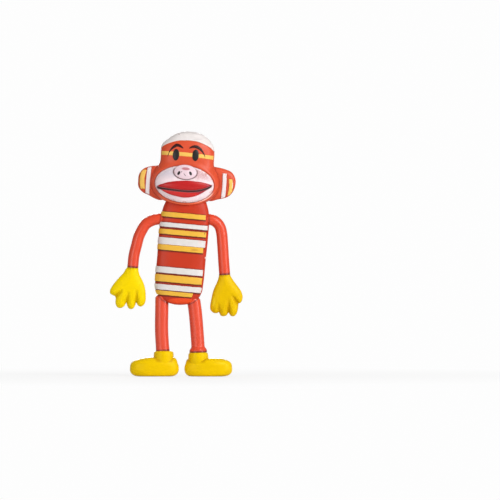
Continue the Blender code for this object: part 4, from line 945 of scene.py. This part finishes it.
def makeBulb(side, ankle):
    # The toe's and the heel's reach make an oval at each height: (t - h) / 2 + (t + h) / 2 ovalX.
    height = leg["ankleHeight"][side]
    share = spans(*shoe["rows"])
    _, heel, depth = readTable(shoe["shares"], share)
    toe = readTable(shoe["shares"], share - shoe["toeLift"][side] * ease(*shoe["liftUp"], share))[0]
    toe, heel = toe * shoe["toe"][side], heel * shoe["heel"][side]
    x, y = unitOval(fullTurns(shoe["points"]), shoe["squareness"])
    across = ((toe - heel) / 2)[:, None] + ((toe + heel) / 2)[:, None] * x
    swell = ease(-shoe["heel"][side], shoe["deepBy"] * shoe["toe"][side], across)
    swell = shoe["heelDepth"] + (1 - shoe["heelDepth"]) * swell
    wide = depth[:, None] * shoe["halfDepth"] * swell * y
    slope = ease(*shoe["sinkAlong"], across / shoe["toe"][side]) * ease(*shoe["sinkUp"], share)[:, None]
    level = (share * height)[:, None] - slope * shoe["sink"] * height
    points = np.stack((shoe["middle"][side] + sides[side] * across, ankle[1] + wide, level), axis=-1)
    # Painted shade round the cuff's foot and towards the sole.
    place, width, strength = shoe["cuffShade"]
    crease = ridge(np.hypot(across, wide), place, width) * strength
    crease = crease * ease(*shoe["cuffShadeUp"], share)[:, None]
    place, strength = shoe["soleShade"]
    crease = np.maximum(crease, ease(place, 0.0, share)[:, None] * strength)
    return loft(f"shoe-{side}", points, finish["shoeVinyl"], {"crease": crease})


def makeCuff(side, ankle):
    share = spans(*cuff["rows"])[:, None]
    radius = readTable(cuff["radii"], share)[0]
    turn = fullTurns(shoe["points"])
    rings = np.stack((ankle[0] + cuff["shift"][side] + radius * np.cos(turn),
                      ankle[1] + radius * cuff["depth"] * np.sin(turn),
                      share * leg["ankleHeight"][side] * np.ones(len(turn))), axis=-1)
    # Painted shade towards the cuff's top.
    low, high, strength = cuff["line"]
    crease = np.broadcast_to(ease(low, high, share) * strength, rings.shape[:2])
    return loft(f"shoeCuff-{side}", rings, finish["shoeVinyl"], {"crease": crease})


for side in sides:
    ankle = routePlace(legs[side], legs[side]["length"])
    for make in (makeBulb, makeCuff):
        settle(make(side, ankle), f"foot_{side}", f"shoe_{side}")
print("shoes made")

# Head: a flat rounded block with a raised rim round the muzzle

head = {
    "height": 0.0417, "halfWidth": 0.0151, "front": 0.0076, "back": 0.0070, "lean": 4.5,
    "squareness": 2.5, "fromAxis": 0.0008, "below": 0.0003, "points": 200,
    "rows": ((0, 0.06, 16), (0.06, 0.9, 190), (0.9, 1.0, 30)),
    # Height, half width, depth and sideways shift, as shares of the head's
    "shares": ((0.000, 0.300, 0.380, -0.060), (0.010, 0.480, 0.560, -0.060),
               (0.027, 0.700, 0.700, -0.060), (0.060, 0.900, 0.830, -0.060),
               (0.120, 1.110, 0.930, -0.060), (0.205, 1.250, 0.990, -0.058),
               (0.285, 1.295, 1.000, -0.056), (0.370, 1.255, 1.000, -0.054),
               (0.440, 1.180, 1.000, -0.050), (0.500, 1.075, 1.000, -0.045),
               (0.560, 1.020, 1.000, -0.040), (0.640, 1.010, 1.000, -0.045),
               (0.720, 1.010, 0.980, -0.050), (0.820, 0.930, 0.900, -0.045),
               (0.877, 0.800, 0.790, -0.025), (0.932, 0.645, 0.640, -0.005),
               (0.986, 0.330, 0.390, 0.000), (1.000, 0.160, 0.200, 0.000)),
    # The crown is a little flatter than the block, and the rim hangs a little below it in front
    "crownDrop": 0.012, "crownFrom": 0.80, "rimDrop": 0.006, "rimDropFrom": 0.14,
    # How much of the way to the full depth the chin comes forward, and between which heights
    "chin": 0.75, "chinUp": (0.22, 0.04),
    # What is done to the front fades towards the sides, from this share of its depth
    "facing": 0.5,
}
# The raised rim and its paint go by the muzzle's radius, which is 1 at the muzzle's edge; turns are
# in degrees, from the doll's left over the top
rim = {
    "rise": 0.9 * mm, "radius": 1.075, "width": 0.075, "outer": 1.9, "flatter": 0.75,
    "flatterUp": (0.35, 0.95), "least": 0.01,
    # Dark lines: middle, width and strength. The outer one is only below the muzzle; it and the foot line
    # are painted shade.
    "innerLine": (1.0, 0.022, 1.0), "outerShade": (1.155, 0.018, 0.3), "outerUp": (0.15, -0.1),
    "footShade": (0.03, -0.02, 0.20),
    # A painted highlight at the lower left, and painted light on the rim's underside: the same, and where
    # they start and stop
    "rimHighlight": (1.045, 0.022, 1.0), "rimHighlightTurns": ((-70, -45), (-12, -32)),
    "glow": (1.085, 0.050, 0.7), "glowTurns": ((-40, -65), (-150, -125)),
}
muzzle = {
    "place": (-0.0755, 0.2710), "halfWidth": 0.01676, "halfHeight": 0.01046, "rise": 0.0034,
    "edge": 0.0008, "steep": 3.4, "blunt": 0.8, "seat": 0.3 * mm, "sink": 1.4 * mm,
    "rings": 110, "count": 280,
    # Its paint: haze and shade lie above its middle and outwards, inside its rim; the mouth's dark
    # line is between the lips, and a thin painted shadow goes round the lower part of the nose
    "shadeUp": (0.02, 0.14), "shadeOut": (0.10, 0.50), "shadeIn": (0.98, 0.88),
    "mouthWidth": 0.78 * mm, "mouthEnds": (-0.01, 0.04),
    "noseShadow": (1.02, 0.05, 0.85), "noseShadowUp": (0.07, 0.02),
}
headAcross, headUp = leanFrame(head["lean"])
headFoot = torsoPoint(1.0) - head["fromAxis"] * torsoAcross - head["below"] * torsoUp


def frontDepth(share, depth):
    # d + c (1 - d) towards the chin
    return depth + head["chin"] * (1 - depth) * ease(*head["chinUp"], share)


def headSurface(turn, share, grow):
    # As the torso's, with unlike depths in front and behind and a sideways shift by height.
    turn, share = np.broadcast_arrays(turn, share)
    width, depth, shift = readTable(head["shares"], share)
    x, y = unitOval(turn, head["squareness"])
    reach = np.where(y < 0, head["front"], head["back"])
    depth = np.where(y < 0, frontDepth(share, depth), depth)
    across = (head["halfWidth"] * width + grow) * x + shift * head["halfWidth"]
    level = share - head["crownDrop"] * ease(head["crownFrom"], 1.0, share)
    return across, level, (reach * depth + grow) * y


def headPoint(across, share, front):
    # A place on the head from its way sideways, share of its height and reach towards -Y.
    return (headFoot + np.asarray(across)[..., None] * headAcross
            + (np.asarray(share) * head["height"])[..., None] * headUp
            - np.asarray(front)[..., None] * deep)


def wayFrom(piece, across, share):
    # The way sideways and up from a face piece's place, in metres.
    return (across - piece["place"][0] * head["halfWidth"], (share - piece["place"][1]) * head["height"])


def radiusOf(piece, across, share):
    # hypot(x / W, z / H) from the place of a muzzle or a nose
    x, z = wayFrom(piece, across, share)
    return np.hypot(x / piece["halfWidth"], z / piece["halfHeight"])


def rimRise(across, share):
    # The raised rim round the muzzle: h exp(-((r - r0) / w)^2), wider outside than inside.
    radius = radiusOf(muzzle, across, share)
    width = np.where(radius > rim["radius"], rim["outer"] * rim["width"], rim["width"])
    level = wayFrom(muzzle, across, share)[1] / muzzle["halfHeight"] / np.maximum(radius, rim["least"])
    rise = rim["rise"] * (1 - rim["flatter"] * ease(*rim["flatterUp"], level))
    return rise * ridge(radius, rim["radius"], width)


def headFront(across, share):
    # F d (1 - |x / w|^n)^(1/n)
    across, share = np.broadcast_arrays(across, share)
    width, depth, shift = readTable(head["shares"], share)
    out = np.clip(np.abs((across / head["halfWidth"] - shift) / width), 0, 1)
    face = (1 - out ** head["squareness"]) ** (1 / head["squareness"])
    return head["front"] * frontDepth(share, depth) * face


def muzzleFront(across, share, widest=1.0):
    # face + edge + (rise - edge) (1 - r^s)^b, steep and blunt; past the widest r it stays level.
    radius = np.clip(radiusOf(muzzle, across, share), 0, widest)
    dome = (1 - radius ** muzzle["steep"]) ** muzzle["blunt"] * (muzzle["rise"] - muzzle["edge"])
    return headFront(across, share) + muzzle["seat"] + muzzle["edge"] + dome


def noseBase(across, share):
    return muzzleFront(across, share, widest=nose["seatRadius"])


def makeHead():
    turn = evenTurns(head["points"], head["halfWidth"], head["front"], head["squareness"])
    across, share, y = headSurface(turn, spans(*head["rows"])[:, None], 0.0)
    facing = ease(0.0, head["facing"], -y / head["front"])
    share = share - head["rimDrop"] * ease(head["rimDropFrom"], 0.0, share) * facing
    front = -y + rimRise(across, share) * facing
    radius = radiusOf(muzzle, across, share)
    x, z = wayFrom(muzzle, across, share)
    turned = np.degrees(np.arctan2(z / muzzle["halfHeight"], x / muzzle["halfWidth"]))
    low, high = rim["outerUp"]
    below = ease(muzzle["place"][1] + low, muzzle["place"][1] + high, share)
    # Painted shade: the outer line below the muzzle, and the foot line at the bottom of the head.
    paints = {}
    for label, within in (("innerLine", 1.0), ("outerShade", below),
                          ("rimHighlight", ease(*rim["rimHighlightTurns"][0], turned) * ease(*rim["rimHighlightTurns"][1], turned)),
                          ("glow", ease(*rim["glowTurns"][0], turned) * ease(*rim["glowTurns"][1], turned))):
        middle, width, strength = rim[label]
        paints[label] = strength * ridge(radius, middle, width) * within
    low, high, strength = rim["footShade"]
    crease = np.maximum(paints["innerLine"], paints["outerShade"]) * facing
    crease = np.maximum(crease, strength * ease(low, high, share)) * (1 - paints["glow"])
    # The rim's underside gets painted light, and the rim beside the muzzle a painted highlight.
    piece = loft("headSkin", headPoint(across, share, front), finish["headVinyl"],
                 {"crease": crease, "rimHighlight": paints["rimHighlight"] * facing, "glow": paints["glow"] * facing})
    settle(piece, "head", "head")


# Heights of the edge at the sides and over the brow, as shares of the head's; the lift of each row
# from the one that goes down into the head, and how far up the first ones stand
cap = {
    "side": 0.738, "middle": 0.873, "archPower": 1.5, "ragged": ((0.0012, 9, 1), (0.0009, 23, 0)),
    "rows": 70, "crowding": 1.2, "edgeLifts": (-0.3 * mm, 0.05 * mm, 0.20 * mm, 0.28 * mm),
    "lift": 0.32 * mm, "edgeSteps": (0.0, 0.0, 0.0008, 0.003), "step": 0.006, "crownFrom": 0.9,
    "rim": 0.9 * mm, "smooth": 70,
}


def makeCap():
    # A shell over the crown. Its edge is arched over the brow: side + (middle - side) |sin t|^1.5.
    turn = evenTurns(head["points"], head["halfWidth"], head["front"], head["squareness"])
    ragged = sum(size * np.sin(often * turn + shift) for size, often, shift in cap["ragged"])
    edge = cap["side"] + (cap["middle"] - cap["side"]) * np.abs(np.sin(turn)) ** cap["archPower"] + ragged
    rows = cap["rows"]
    part = np.linspace(0, 1, rows) ** cap["crowding"]
    part = np.concatenate((np.zeros(len(cap["edgeLifts"])), part))[:, None]
    lift = np.concatenate((cap["edgeLifts"], np.full(rows, cap["lift"])))[:, None]
    step = np.concatenate((cap["edgeSteps"], np.full(rows, cap["step"])))[:, None]
    share = edge + step * (part == 0) + part * (1 - edge)
    share = np.clip(np.maximum.accumulate(share, axis=0), 0, 1)
    across, share, y = headSurface(turn, share, lift)
    raised = lift * ease(cap["crownFrom"], 1.0, share)
    points = headPoint(across, share, -y) + raised[..., None] * headUp
    fromEdge = (share - edge) * head["height"]
    piece = loft("cap", points, finish["capPaint"], {"rim": 1 - fromEdge / cap["rim"]},
                 crease=cap["smooth"])
    settle(piece, "head", "cap")


def faceDisc(name, node, disc, place, base, paintName, masks=None, change=None):
    # rise (1 - r^2)^0.5 on the surface below; its rim goes down into that surface. A plain top
    # keeps the dark line off the upper part of the rim.
    turn = fullTurns(disc["count"])
    part = np.sin(np.linspace(discs["first"], math.pi / 2, disc["rings"]))
    part = np.concatenate((part, (1.0,)))[:, None]
    across = place[0] * head["halfWidth"] + part * disc["halfWidth"] * np.cos(turn)
    share = place[1] + part * disc["halfHeight"] * np.sin(turn) / head["height"]
    dome = np.sqrt(np.clip(1 - part**2, 0, 1))
    front = base(across, share) + disc.get("lift", 0.0) + disc.get("domeRise", 0.0) * dome
    front[-1] = base(across[-1], share[-1]) - disc["sink"]
    given = {"rim": part * (1 - disc.get("plainTop", 0.0) * ease(*discs["topUp"], np.sin(turn)))}
    if masks:
        given.update(masks(across, share))
    if change:
        front = change(across, share, front)
    piece = loft(name, headPoint(across, share, front), finish[paintName], given,
                 crease=meshing["smoothRelief"])
    settle(piece, "head", node)


def faceStrip(name, node, strip, across, low, high, base, paintName):
    # Across the strip: edge + rise (1 - |2v - 1|^3)^0.5, and both edges go down into the surface.
    v = archShares(strip["count"])
    share = low[:, None] + v * (high - low)[:, None]
    wide = np.broadcast_to(across[:, None], share.shape)
    reached = np.concatenate(([0.0], np.cumsum(np.abs(np.diff(across)))))
    fromEnd = np.minimum(reached, reached[-1] - reached)[:, None]
    dome = np.sqrt(np.clip(1 - np.abs(2 * v - 1) ** 3, 0, 1))
    dome = dome * ease(-strips["endStart"] * strip["ends"], strip["ends"], fromEnd)
    surface = base(wide, share)
    front = surface + strip["edge"] + strip["rise"] * dome
    front[:, (0, -1)] = surface[:, (0, -1)] - strips["sink"]
    fromEdge = np.minimum(np.minimum(v, 1 - v) * (high - low)[:, None] * head["height"], fromEnd)
    piece = loft(name, headPoint(wide, share, front), finish[paintName],
                 {"rim": 1 - fromEdge / strips["rim"]}, crease=meshing["smoothRelief"])
    settle(piece, "head", node)


discs = {"first": 0.02, "topUp": (0.30, 0.80)}
strips = {"endStart": 0.2, "sink": 0.4 * mm, "rim": 0.5 * mm}
eye = {"place": {"right": (-0.477, 0.665), "left": (0.259, 0.677)}, "halfWidth": 0.0019,
       "halfHeight": 0.0033, "lift": 0.12 * mm, "domeRise": 0.30 * mm, "sink": 0.5 * mm,
       "rings": 24, "count": 72}
# A painted line across the face, on which the eyes lie
eyeBand = {"reach": 0.985, "shift": -0.045, "halfHeight": 1.12 * mm, "points": 260,
           "line": ((-1.050, 0.676), (0.000, 0.678), (0.965, 0.662)),
           "edge": 0.04 * mm, "rise": 0.14 * mm, "count": 15, "ends": 0.3 * mm}
brow = {
    "halfHeight": 0.90 * mm, "points": 60, "edge": 0.10 * mm, "rise": 0.12 * mm, "count": 9,
    "ends": 0.2 * mm,
    # How soon it is at its full height, and how the half towards the face's side is thinner
    "tip": 0.12, "swell": 0.7, "thinner": ((0.0, 0.5, 1.0), (0.55, 1.0, 1.0)),
    "line": {
        "right": ((-0.785, 0.632), (-0.752, 0.680), (-0.708, 0.718), (-0.640, 0.751), (-0.555, 0.780),
                  (-0.460, 0.796), (-0.370, 0.792), (-0.290, 0.777), (-0.222, 0.762)),
        "left": ((0.004, 0.767), (0.100, 0.787), (0.200, 0.795), (0.300, 0.790), (0.400, 0.773),
                 (0.480, 0.748), (0.545, 0.718), (0.600, 0.684), (0.632, 0.650)),
    },
}


def makeEyeBand():
    turn = np.linspace(-math.pi / 2, math.pi / 2, eyeBand["points"])
    places = eyeBand["shift"] + eyeBand["reach"] * np.sin(turn)
    level = readTable(eyeBand["line"], places)[0]
    half = eyeBand["halfHeight"] / head["height"]
    faceStrip("eyeBand", "eye_band", eyeBand, places * head["halfWidth"], level - half, level + half,
              headFront, "palePaint")


def makeBrow(side):
    # Half height: h sin(t)^0.7 (1 + slope^2)^0.5, so that it is as wide where the arc is steep.
    rows, count = np.array(brow["line"][side]), brow["points"]
    places = np.linspace(rows[0, 0], rows[-1, 0], count)
    line = readTable(rows, places)[0]
    swell = np.sin(np.linspace(brow["tip"], math.pi - brow["tip"], count)) ** brow["swell"]
    swell = swell * np.interp(np.linspace(0, 1, count)[::-sides[side]], *brow["thinner"])
    slope = np.gradient(line * head["height"], places * head["halfWidth"])
    half = swell * brow["halfHeight"] * np.sqrt(1 + slope**2) / head["height"]
    faceStrip(f"brow-{side}", f"brow_{side}", brow, places * head["halfWidth"], line - half, line + half,
              headFront, "browPaint")


makeHead()
makeCap()
makeEyeBand()
for side in sides:
    faceDisc(f"eye-{side}", f"eye_{side}", eye, eye["place"][side], headFront, "eyePaint")
    makeBrow(side)
print("face made")

# Muzzle, nose and lips

# The nose's marks are in millimetres from its middle: across, up, half width, half height, degrees
nose = {
    "place": (-0.073, 0.436), "halfWidth": 0.0067, "halfHeight": 0.0042, "domeRise": 0.0011,
    "lift": 0.20 * mm, "sink": 0.5 * mm, "seatRadius": 0.87, "plainTop": 0.04, "rings": 70, "count": 200,
    "nostrils": ((-3.67, -0.80, 0.70, 1.22, 24), (2.99, -0.50, 0.74, 1.20, -28)), "dig": 0.35 * mm,
    "scratches": ((-0.2, -1.5, 0.26, 1.05, -42), (-2.1, 0.1, 0.22, 0.5, 30)), "scratch": 0.7,
    "blush": (0.15, 1.95, 2.25, 0.80, 0),
    "nostrilEdge": (1.25, 0.8), "scratchEdge": (1.3, 0.5), "blushEdge": (1.5, 0.6),
}
lips = {
    # Place across by the muzzle's half width; upper edge, the mouth's line and the lower edge
    "shares": (
        (-0.940, -0.272, -0.285, -0.298), (-0.870, -0.190, -0.323, -0.345), (-0.745, -0.103, -0.345, -0.451),
        (-0.612, -0.021, -0.366, -0.555), (-0.480, 0.034, -0.380, -0.632), (-0.300, 0.090, -0.394, -0.690),
        (-0.140, 0.128, -0.404, -0.730), (0.020, 0.155, -0.406, -0.747), (0.200, 0.166, -0.398, -0.718),
        (0.400, 0.156, -0.361, -0.628), (0.560, 0.140, -0.302, -0.503), (0.690, 0.113, -0.234, -0.362),
        (0.820, 0.075, -0.143, -0.193), (0.900, 0.045, -0.055, -0.085), (0.955, 0.015, 0.005, -0.005)),
    "ends": (-0.940, 0.955), "scale": 0.2575, "place": 0.2812, "gap": 0.60 * mm, "points": 150,
    "least": 0.0006, "lowerFrom": 6,
}
upperLip = {"edge": 0.02 * mm, "rise": 0.75 * mm, "count": 25, "ends": 2.0 * mm}
lowerLip = {"edge": 0.02 * mm, "rise": 0.70 * mm, "count": 21, "ends": 2.0 * mm}


def lipLines(places):
    # The upper edge, the mouth's line and the lower edge, as shares of the head's height.
    return readTable(lips["shares"], places) * lips["scale"] + lips["place"]


def muzzleMasks(across, share):
    # Haze and shade: towards the upper sides, grey at the doll's right and rosy at its left.
    # Mouth: dark between the two lips, and a thin painted shadow round the lower part of the nose.
    x = wayFrom(muzzle, across, share)[0] / muzzle["halfWidth"]
    low, high = muzzle["shadeUp"]
    outward = (ease(muzzle["place"][1] + low, muzzle["place"][1] + high, share)
               * ease(*muzzle["shadeOut"], np.abs(x))
               * ease(*muzzle["shadeIn"], radiusOf(muzzle, across, share)))
    first, last = lips["ends"]
    line = lipLines(np.clip(x, first, last))[1]
    mouth = np.exp(-((share - line) * head["height"] / muzzle["mouthWidth"]) ** 4)
    mouth = mouth * ease(*muzzle["mouthEnds"], np.minimum(x - first, last - x))
    # Painted shadow under the nose.
    middle, width, strength = muzzle["noseShadow"]
    low, high = muzzle["noseShadowUp"]
    outline = strength * ridge(radiusOf(nose, across, share), middle, width)
    outline = outline * ease(nose["place"][1] + low, nose["place"][1] + high, share)
    return {"shade": outward * (x > 0), "haze": outward * (x < 0), "mouth": np.maximum(mouth, outline)}


def nearestMark(across, share, marks):
    # ((c x - s z) / w)^2 + ((c z + s x) / h)^2 in the nose's own millimetres, the least of all marks
    ways = []
    for x0, z0, halfWidth, halfHeight, degrees in marks:
        x, z = wayFrom(nose, across, share)
        x, z = x / mm - x0, z / mm - z0
        c, s = math.cos(math.radians(degrees)), math.sin(math.radians(degrees))
        ways.append(((c * x - s * z) / halfWidth) ** 2 + ((c * z + s * x) / halfHeight) ** 2)
    return np.min(ways, axis=0)


def noseMasks(across, share):
    nostril = ease(*nose["nostrilEdge"], nearestMark(across, share, nose["nostrils"]))
    scratch = ease(*nose["scratchEdge"], nearestMark(across, share, nose["scratches"])) * nose["scratch"]
    return {"nostril": np.maximum(nostril, scratch),
            "blush": ease(*nose["blushEdge"], nearestMark(across, share, (nose["blush"],)))}


def digNostrils(across, share, front):
    # Each nostril is a pit: its depth is d exp(-r^2).
    return front - nose["dig"] * np.exp(-nearestMark(across, share, nose["nostrils"]))


def makeLips():
    # The two lips leave a dark gap along the mouth's line and meet the muzzle at their corners.
    first, last = lips["ends"]
    part = (np.sin(np.linspace(-math.pi / 2, math.pi / 2, lips["points"])) + 1) / 2
    places = first + part * (last - first)
    top, mouth, bottom = lipLines(places)
    across = muzzle["place"][0] * head["halfWidth"] + places * muzzle["halfWidth"]
    gap, least = lips["gap"] / head["height"], lips["least"]
    faceStrip("upperLip", "upper_lip", upperLip, across, np.minimum(mouth + gap, top - least), top,
              muzzleFront, "upperLipPaint")
    inner = slice(lips["lowerFrom"], -lips["lowerFrom"])
    faceStrip("lowerLip", "lower_lip", lowerLip, across[inner], bottom[inner],
              np.maximum(mouth - gap, bottom + least)[inner], muzzleFront, "lowerLipPaint")


faceDisc("muzzle", "muzzle", muzzle, muzzle["place"], muzzleFront, "muzzlePaint",
         masks=muzzleMasks)
faceDisc("nose", "nose", nose, nose["place"], noseBase, "nosePaint", masks=noseMasks,
         change=digNostrils)
makeLips()
print("muzzle made")

# Ears: flat plates whose edge is a radius by direction, and two painted bands on each

ear = {
    "halfDepth": 0.0024, "radius": 0.00965, "fromSide": 0.0029, "height": {"right": 0.275, "left": 0.305},
    "points": 160, "rings": 40, "first": 0.03, "dish": 0.4 * mm, "within": 0.955,
    # The edge's radius by direction, from straight outwards over the top and round, as shares
    "edgeShares": {
        "right": (1.00, 1.045, 1.03, 0.965, 0.962, 1.12, 1.20, 1.20, 1.20, 1.20, 1.20, 1.14, 0.96, 0.87,
                  0.95, 1.02),
        "left": (1.01, 1.07, 1.08, 1.00, 1.00, 1.10, 1.20, 1.20, 1.20, 1.20, 1.20, 1.10, 0.90, 0.87,
                 0.93, 0.97),
    },
    # Each band: its place outwards, half width, half height, bow and place upwards, as shares
    "bands": {
        "right": {"white": (0.415, 0.118, 0.86, 0.03, 0.0), "yellow": (0.768, 0.145, 0.57, 0.08, 0.10)},
        "left": {"white": (0.365, 0.118, 0.84, 0.03, -0.16), "yellow": (0.762, 0.115, 0.49, 0.06, -0.12)},
    },
    # Painted shade along the head, and dark lines beside each band: way, width and strength; the band lines
    # stop past its ends
    "headShade": (0.25 * mm, 0.45 * mm, 0.42), "bandLine": (0.15 * mm, 0.30 * mm, 0.55),
    "bandEnds": (1.06, 1.0),
}
earBand = {
    "points": 80, "count": 13, "edge": 0.06 * mm, "rise": 0.24 * mm, "corner": 0.3 * mm,
    "sink": 0.3 * mm, "rim": 0.5 * mm,
    "paints": {"white": ("bandPaint", "white_paint"), "yellow": ("palePaint", "stripe_yellow")},
}


def earEdge(side, turn):
    # The radius by direction, eased between its listed shares.
    shares = np.array(ear["edgeShares"][side])
    around = np.tile(shares, 3)
    knots = 2 * math.pi * (np.arange(len(around)) - len(shares)) / len(shares)
    return ear["radius"] * readTable(np.column_stack((knots, around)), np.mod(turn, 2 * math.pi))[0]


def earPoint(side, out, level, front):
    sign = sides[side]
    middle = headPoint(sign * (head["halfWidth"] + ear["fromSide"]), ear["height"][side], 0.0)
    return (middle + (sign * out)[..., None] * headAcross + level[..., None] * headUp
            - front[..., None] * deep)


def earFront(side, out, level):
    # D (1 - r^4)^0.5, less a shallow dish in the middle
    part = np.clip(np.hypot(out, level) / earEdge(side, np.arctan2(level, out)), 0, 1)
    return ear["halfDepth"] * np.sqrt(1 - part**4) - ear["dish"] * (1 - part**2) ** 2


def makeEar(side):
    turn, rings = fullTurns(ear["points"]), ear["rings"]
    part = np.sin(np.linspace(ear["first"], math.pi / 2, rings))
    part = np.concatenate((part, part[-2::-1]))[:, None]
    face = np.concatenate((np.ones(rings), -np.ones(rings - 1)))[:, None]
    out = part * earEdge(side, turn) * np.cos(turn)
    level = part * earEdge(side, turn) * np.sin(turn)
    width, _, shift = readTable(head["shares"], np.clip(ear["height"][side] + level / head["height"], 0, 1))
    fromHead = head["halfWidth"] * (1 - width - sides[side] * shift) + ear["fromSide"] + out
    # Painted shade where the ear meets the head.
    middle, broad, strength = ear["headShade"]
    crease = strength * ridge(fromHead, middle, broad)
    middle, broad, strength = ear["bandLine"]
    for place, halfWidth, halfHeight, bow, raised in ear["bands"][side].values():
        along = (level / ear["radius"] - raised) / halfHeight
        beside = np.abs(out / ear["radius"] - place + bow * along**2) - halfWidth
        line = strength * ridge(beside * ear["radius"], middle, broad)
        crease = np.maximum(crease, line * ease(*ear["bandEnds"], np.abs(along)) * (face > 0))
    piece = loft(f"ear-{side}", earPoint(side, out, level, face * earFront(side, out, level)),
                 finish["headVinyl"], {"crease": crease})
    settle(piece, "head", f"ear_{side}")


def makeEarBand(side, colour):
    # An upright band, bowed like the ear's edge and kept inside it; across it a low arch.
    sizes = np.array(ear["bands"][side][colour]) * ear["radius"]
    place, halfWidth, halfHeight, bow, raised = sizes
    along = np.linspace(-1, 1, earBand["points"])[:, None]
    v = archShares(earBand["count"])
    out = place + (2 * v - 1) * halfWidth - bow * along**2
    level = raised + along * halfHeight * np.ones_like(v)
    within = np.minimum(1, ear["within"] * earEdge(side, np.arctan2(level, out)) / np.hypot(out, level))
    out, level = out * within, level * within
    fromEdge = np.minimum(np.minimum(v, 1 - v) * 2 * halfWidth, (1 - np.abs(along)) * halfHeight)
    lift = earBand["edge"] + earBand["rise"] * ease(0.0, earBand["corner"], fromEdge)
    lift[:, (0, -1)] = -earBand["sink"]
    points = earPoint(side, out, level, earFront(side, out, level) + lift)
    paintName, slotName = earBand["paints"][colour]
    piece = loft(f"earBand-{colour}-{side}", points, finish[paintName],
                 {"rim": 1 - fromEdge / earBand["rim"]}, crease=meshing["smoothRelief"])
    settle(piece, "head", f"ear_band_{colour}_{side}")


for side in sides:
    makeEar(side)
    for colour in ear["bands"][side]:
        makeEarBand(side, colour)
print("ears made")

# Studio: a pale floor and backdrop, a soft key from the upper right and the camera

studio = {
    "pixel": 0.57 * mm, "pixels": 500, "aim": (41.7 * mm, 72.0 * mm), "distance": 4.0, "sensor": 36.0,
    "clip": (0.05, 20.0), "worldLevel": 0.34, "paper": 0.985, "lampAim": (0.0, 0.0, 0.07),
    # The floor's half size, grey and roughness; how white it looks under the doll, and from which
    # distance to which it comes to look as white as the paper behind it
    "floor": 3.0, "floorGrey": 0.80, "floorRough": 0.8, "floorSeen": 0.72, "floorFade": (0.05, 0.30),
    # Each lamp: where it is, its width, height and power
    "lamps": {"key": ((0.50, -0.62, 0.55), 0.50, 0.50, 5.0),
              "strip": ((0.80, -0.46, 0.14), 0.14, 0.70, 2.8),
              "fill": ((-0.60, -0.80, 0.06), 0.60, 0.60, 3.3),
              "back": ((-0.08, 0.95, 0.30), 0.40, 0.40, 3.6)},
}


def seenDirectly(tree):
    # 1 for what the camera sees itself or through glass
    path = addNode(tree, "LightPath").outputs
    return calc(tree, "MAXIMUM", path["Is Camera Ray"], path["Is Transmission Ray"])


def makeFloorMaterial():
    # The camera sees it nearly white away from the doll; the light falls on the plain grey.
    material, tree, shader = startMaterial("paleFloor")
    grey = studio["floorGrey"]
    feed(tree, shader, {"Base Color": (grey, grey, grey, 1), "Roughness": studio["floorRough"]})
    glow = addNode(tree, "Emission", {"Color": (1, 1, 1, 1), "Strength": studio["paper"]})
    where = addNode(tree, "TexCoord").outputs["Object"]
    away = addNode(tree, "VectorMath", {0: where}, operation="LENGTH").outputs["Value"]
    near, far = studio["floorFade"]
    whole = addNode(tree, "MapRange", {"Value": away, "From Min": near, "From Max": far,
                                       "To Min": studio["floorSeen"], "To Max": 1.0}).outputs["Result"]
    mixed = addNode(tree, "MixShader", {0: calc(tree, "MULTIPLY", seenDirectly(tree), whole),
                                        1: shader.outputs[0], 2: glow.outputs[0]})
    feed(tree, tree.nodes["Material Output"], {"Surface": mixed.outputs[0]})
    return material


def makeFloor():
    mesh = bpy.data.meshes.new("floor")
    far = studio["floor"]
    mesh.from_pydata([(-far, -far, 0), (far, -far, 0), (far, far, 0), (-far, far, 0)], [], [(0, 1, 2, 3)])
    mesh.materials.append(makeFloorMaterial())
    floor = bpy.data.objects.new("floor", mesh)
    bpy.context.scene.collection.objects.link(floor)


def makeWorld():
    world = bpy.data.worlds.new("studio")
    world.use_nodes = True
    bpy.context.scene.world = world
    tree = world.node_tree
    level = calc(tree, "MULTIPLY_ADD", seenDirectly(tree), studio["paper"] - studio["worldLevel"],
                 studio["worldLevel"])
    feed(tree, tree.nodes["Background"], {"Color": (1, 1, 1, 1), "Strength": level})


def makeLamp(name, place, width, height, power):
    # Its turn points -Z at the doll: pitch from the rise of that direction, heading from its run.
    lamp = bpy.data.lights.new(name, "AREA")
    lamp.shape = "ELLIPSE"
    lamp.size, lamp.size_y = width, height
    lamp.energy = power
    light = bpy.data.objects.new(name, lamp)
    bpy.context.scene.collection.objects.link(light)
    light.location = place
    x, y, z = np.array(studio["lampAim"]) - np.array(place)
    light.rotation_euler = (math.atan2(math.hypot(x, y), -z), 0.0, math.atan2(-x, y))


def makeCamera():
    camera = bpy.data.objects.new("camera", bpy.data.cameras.new("camera"))
    bpy.context.scene.collection.objects.link(camera)
    camera.data.sensor_width = studio["sensor"]
    camera.data.lens = studio["sensor"] * studio["distance"] / (studio["pixels"] * studio["pixel"])
    camera.data.clip_start, camera.data.clip_end = studio["clip"]
    camera.location = (studio["aim"][0], torso["middleY"] - studio["distance"], studio["aim"][1])
    camera.rotation_euler = (math.pi / 2, 0, 0)
    bpy.context.scene.camera = camera


makeFloor()
makeWorld()
for name, lamp in studio["lamps"].items():
    makeLamp(name, *lamp)
makeCamera()
bpy.context.scene.view_settings.view_transform = "Standard"
print("studio made")
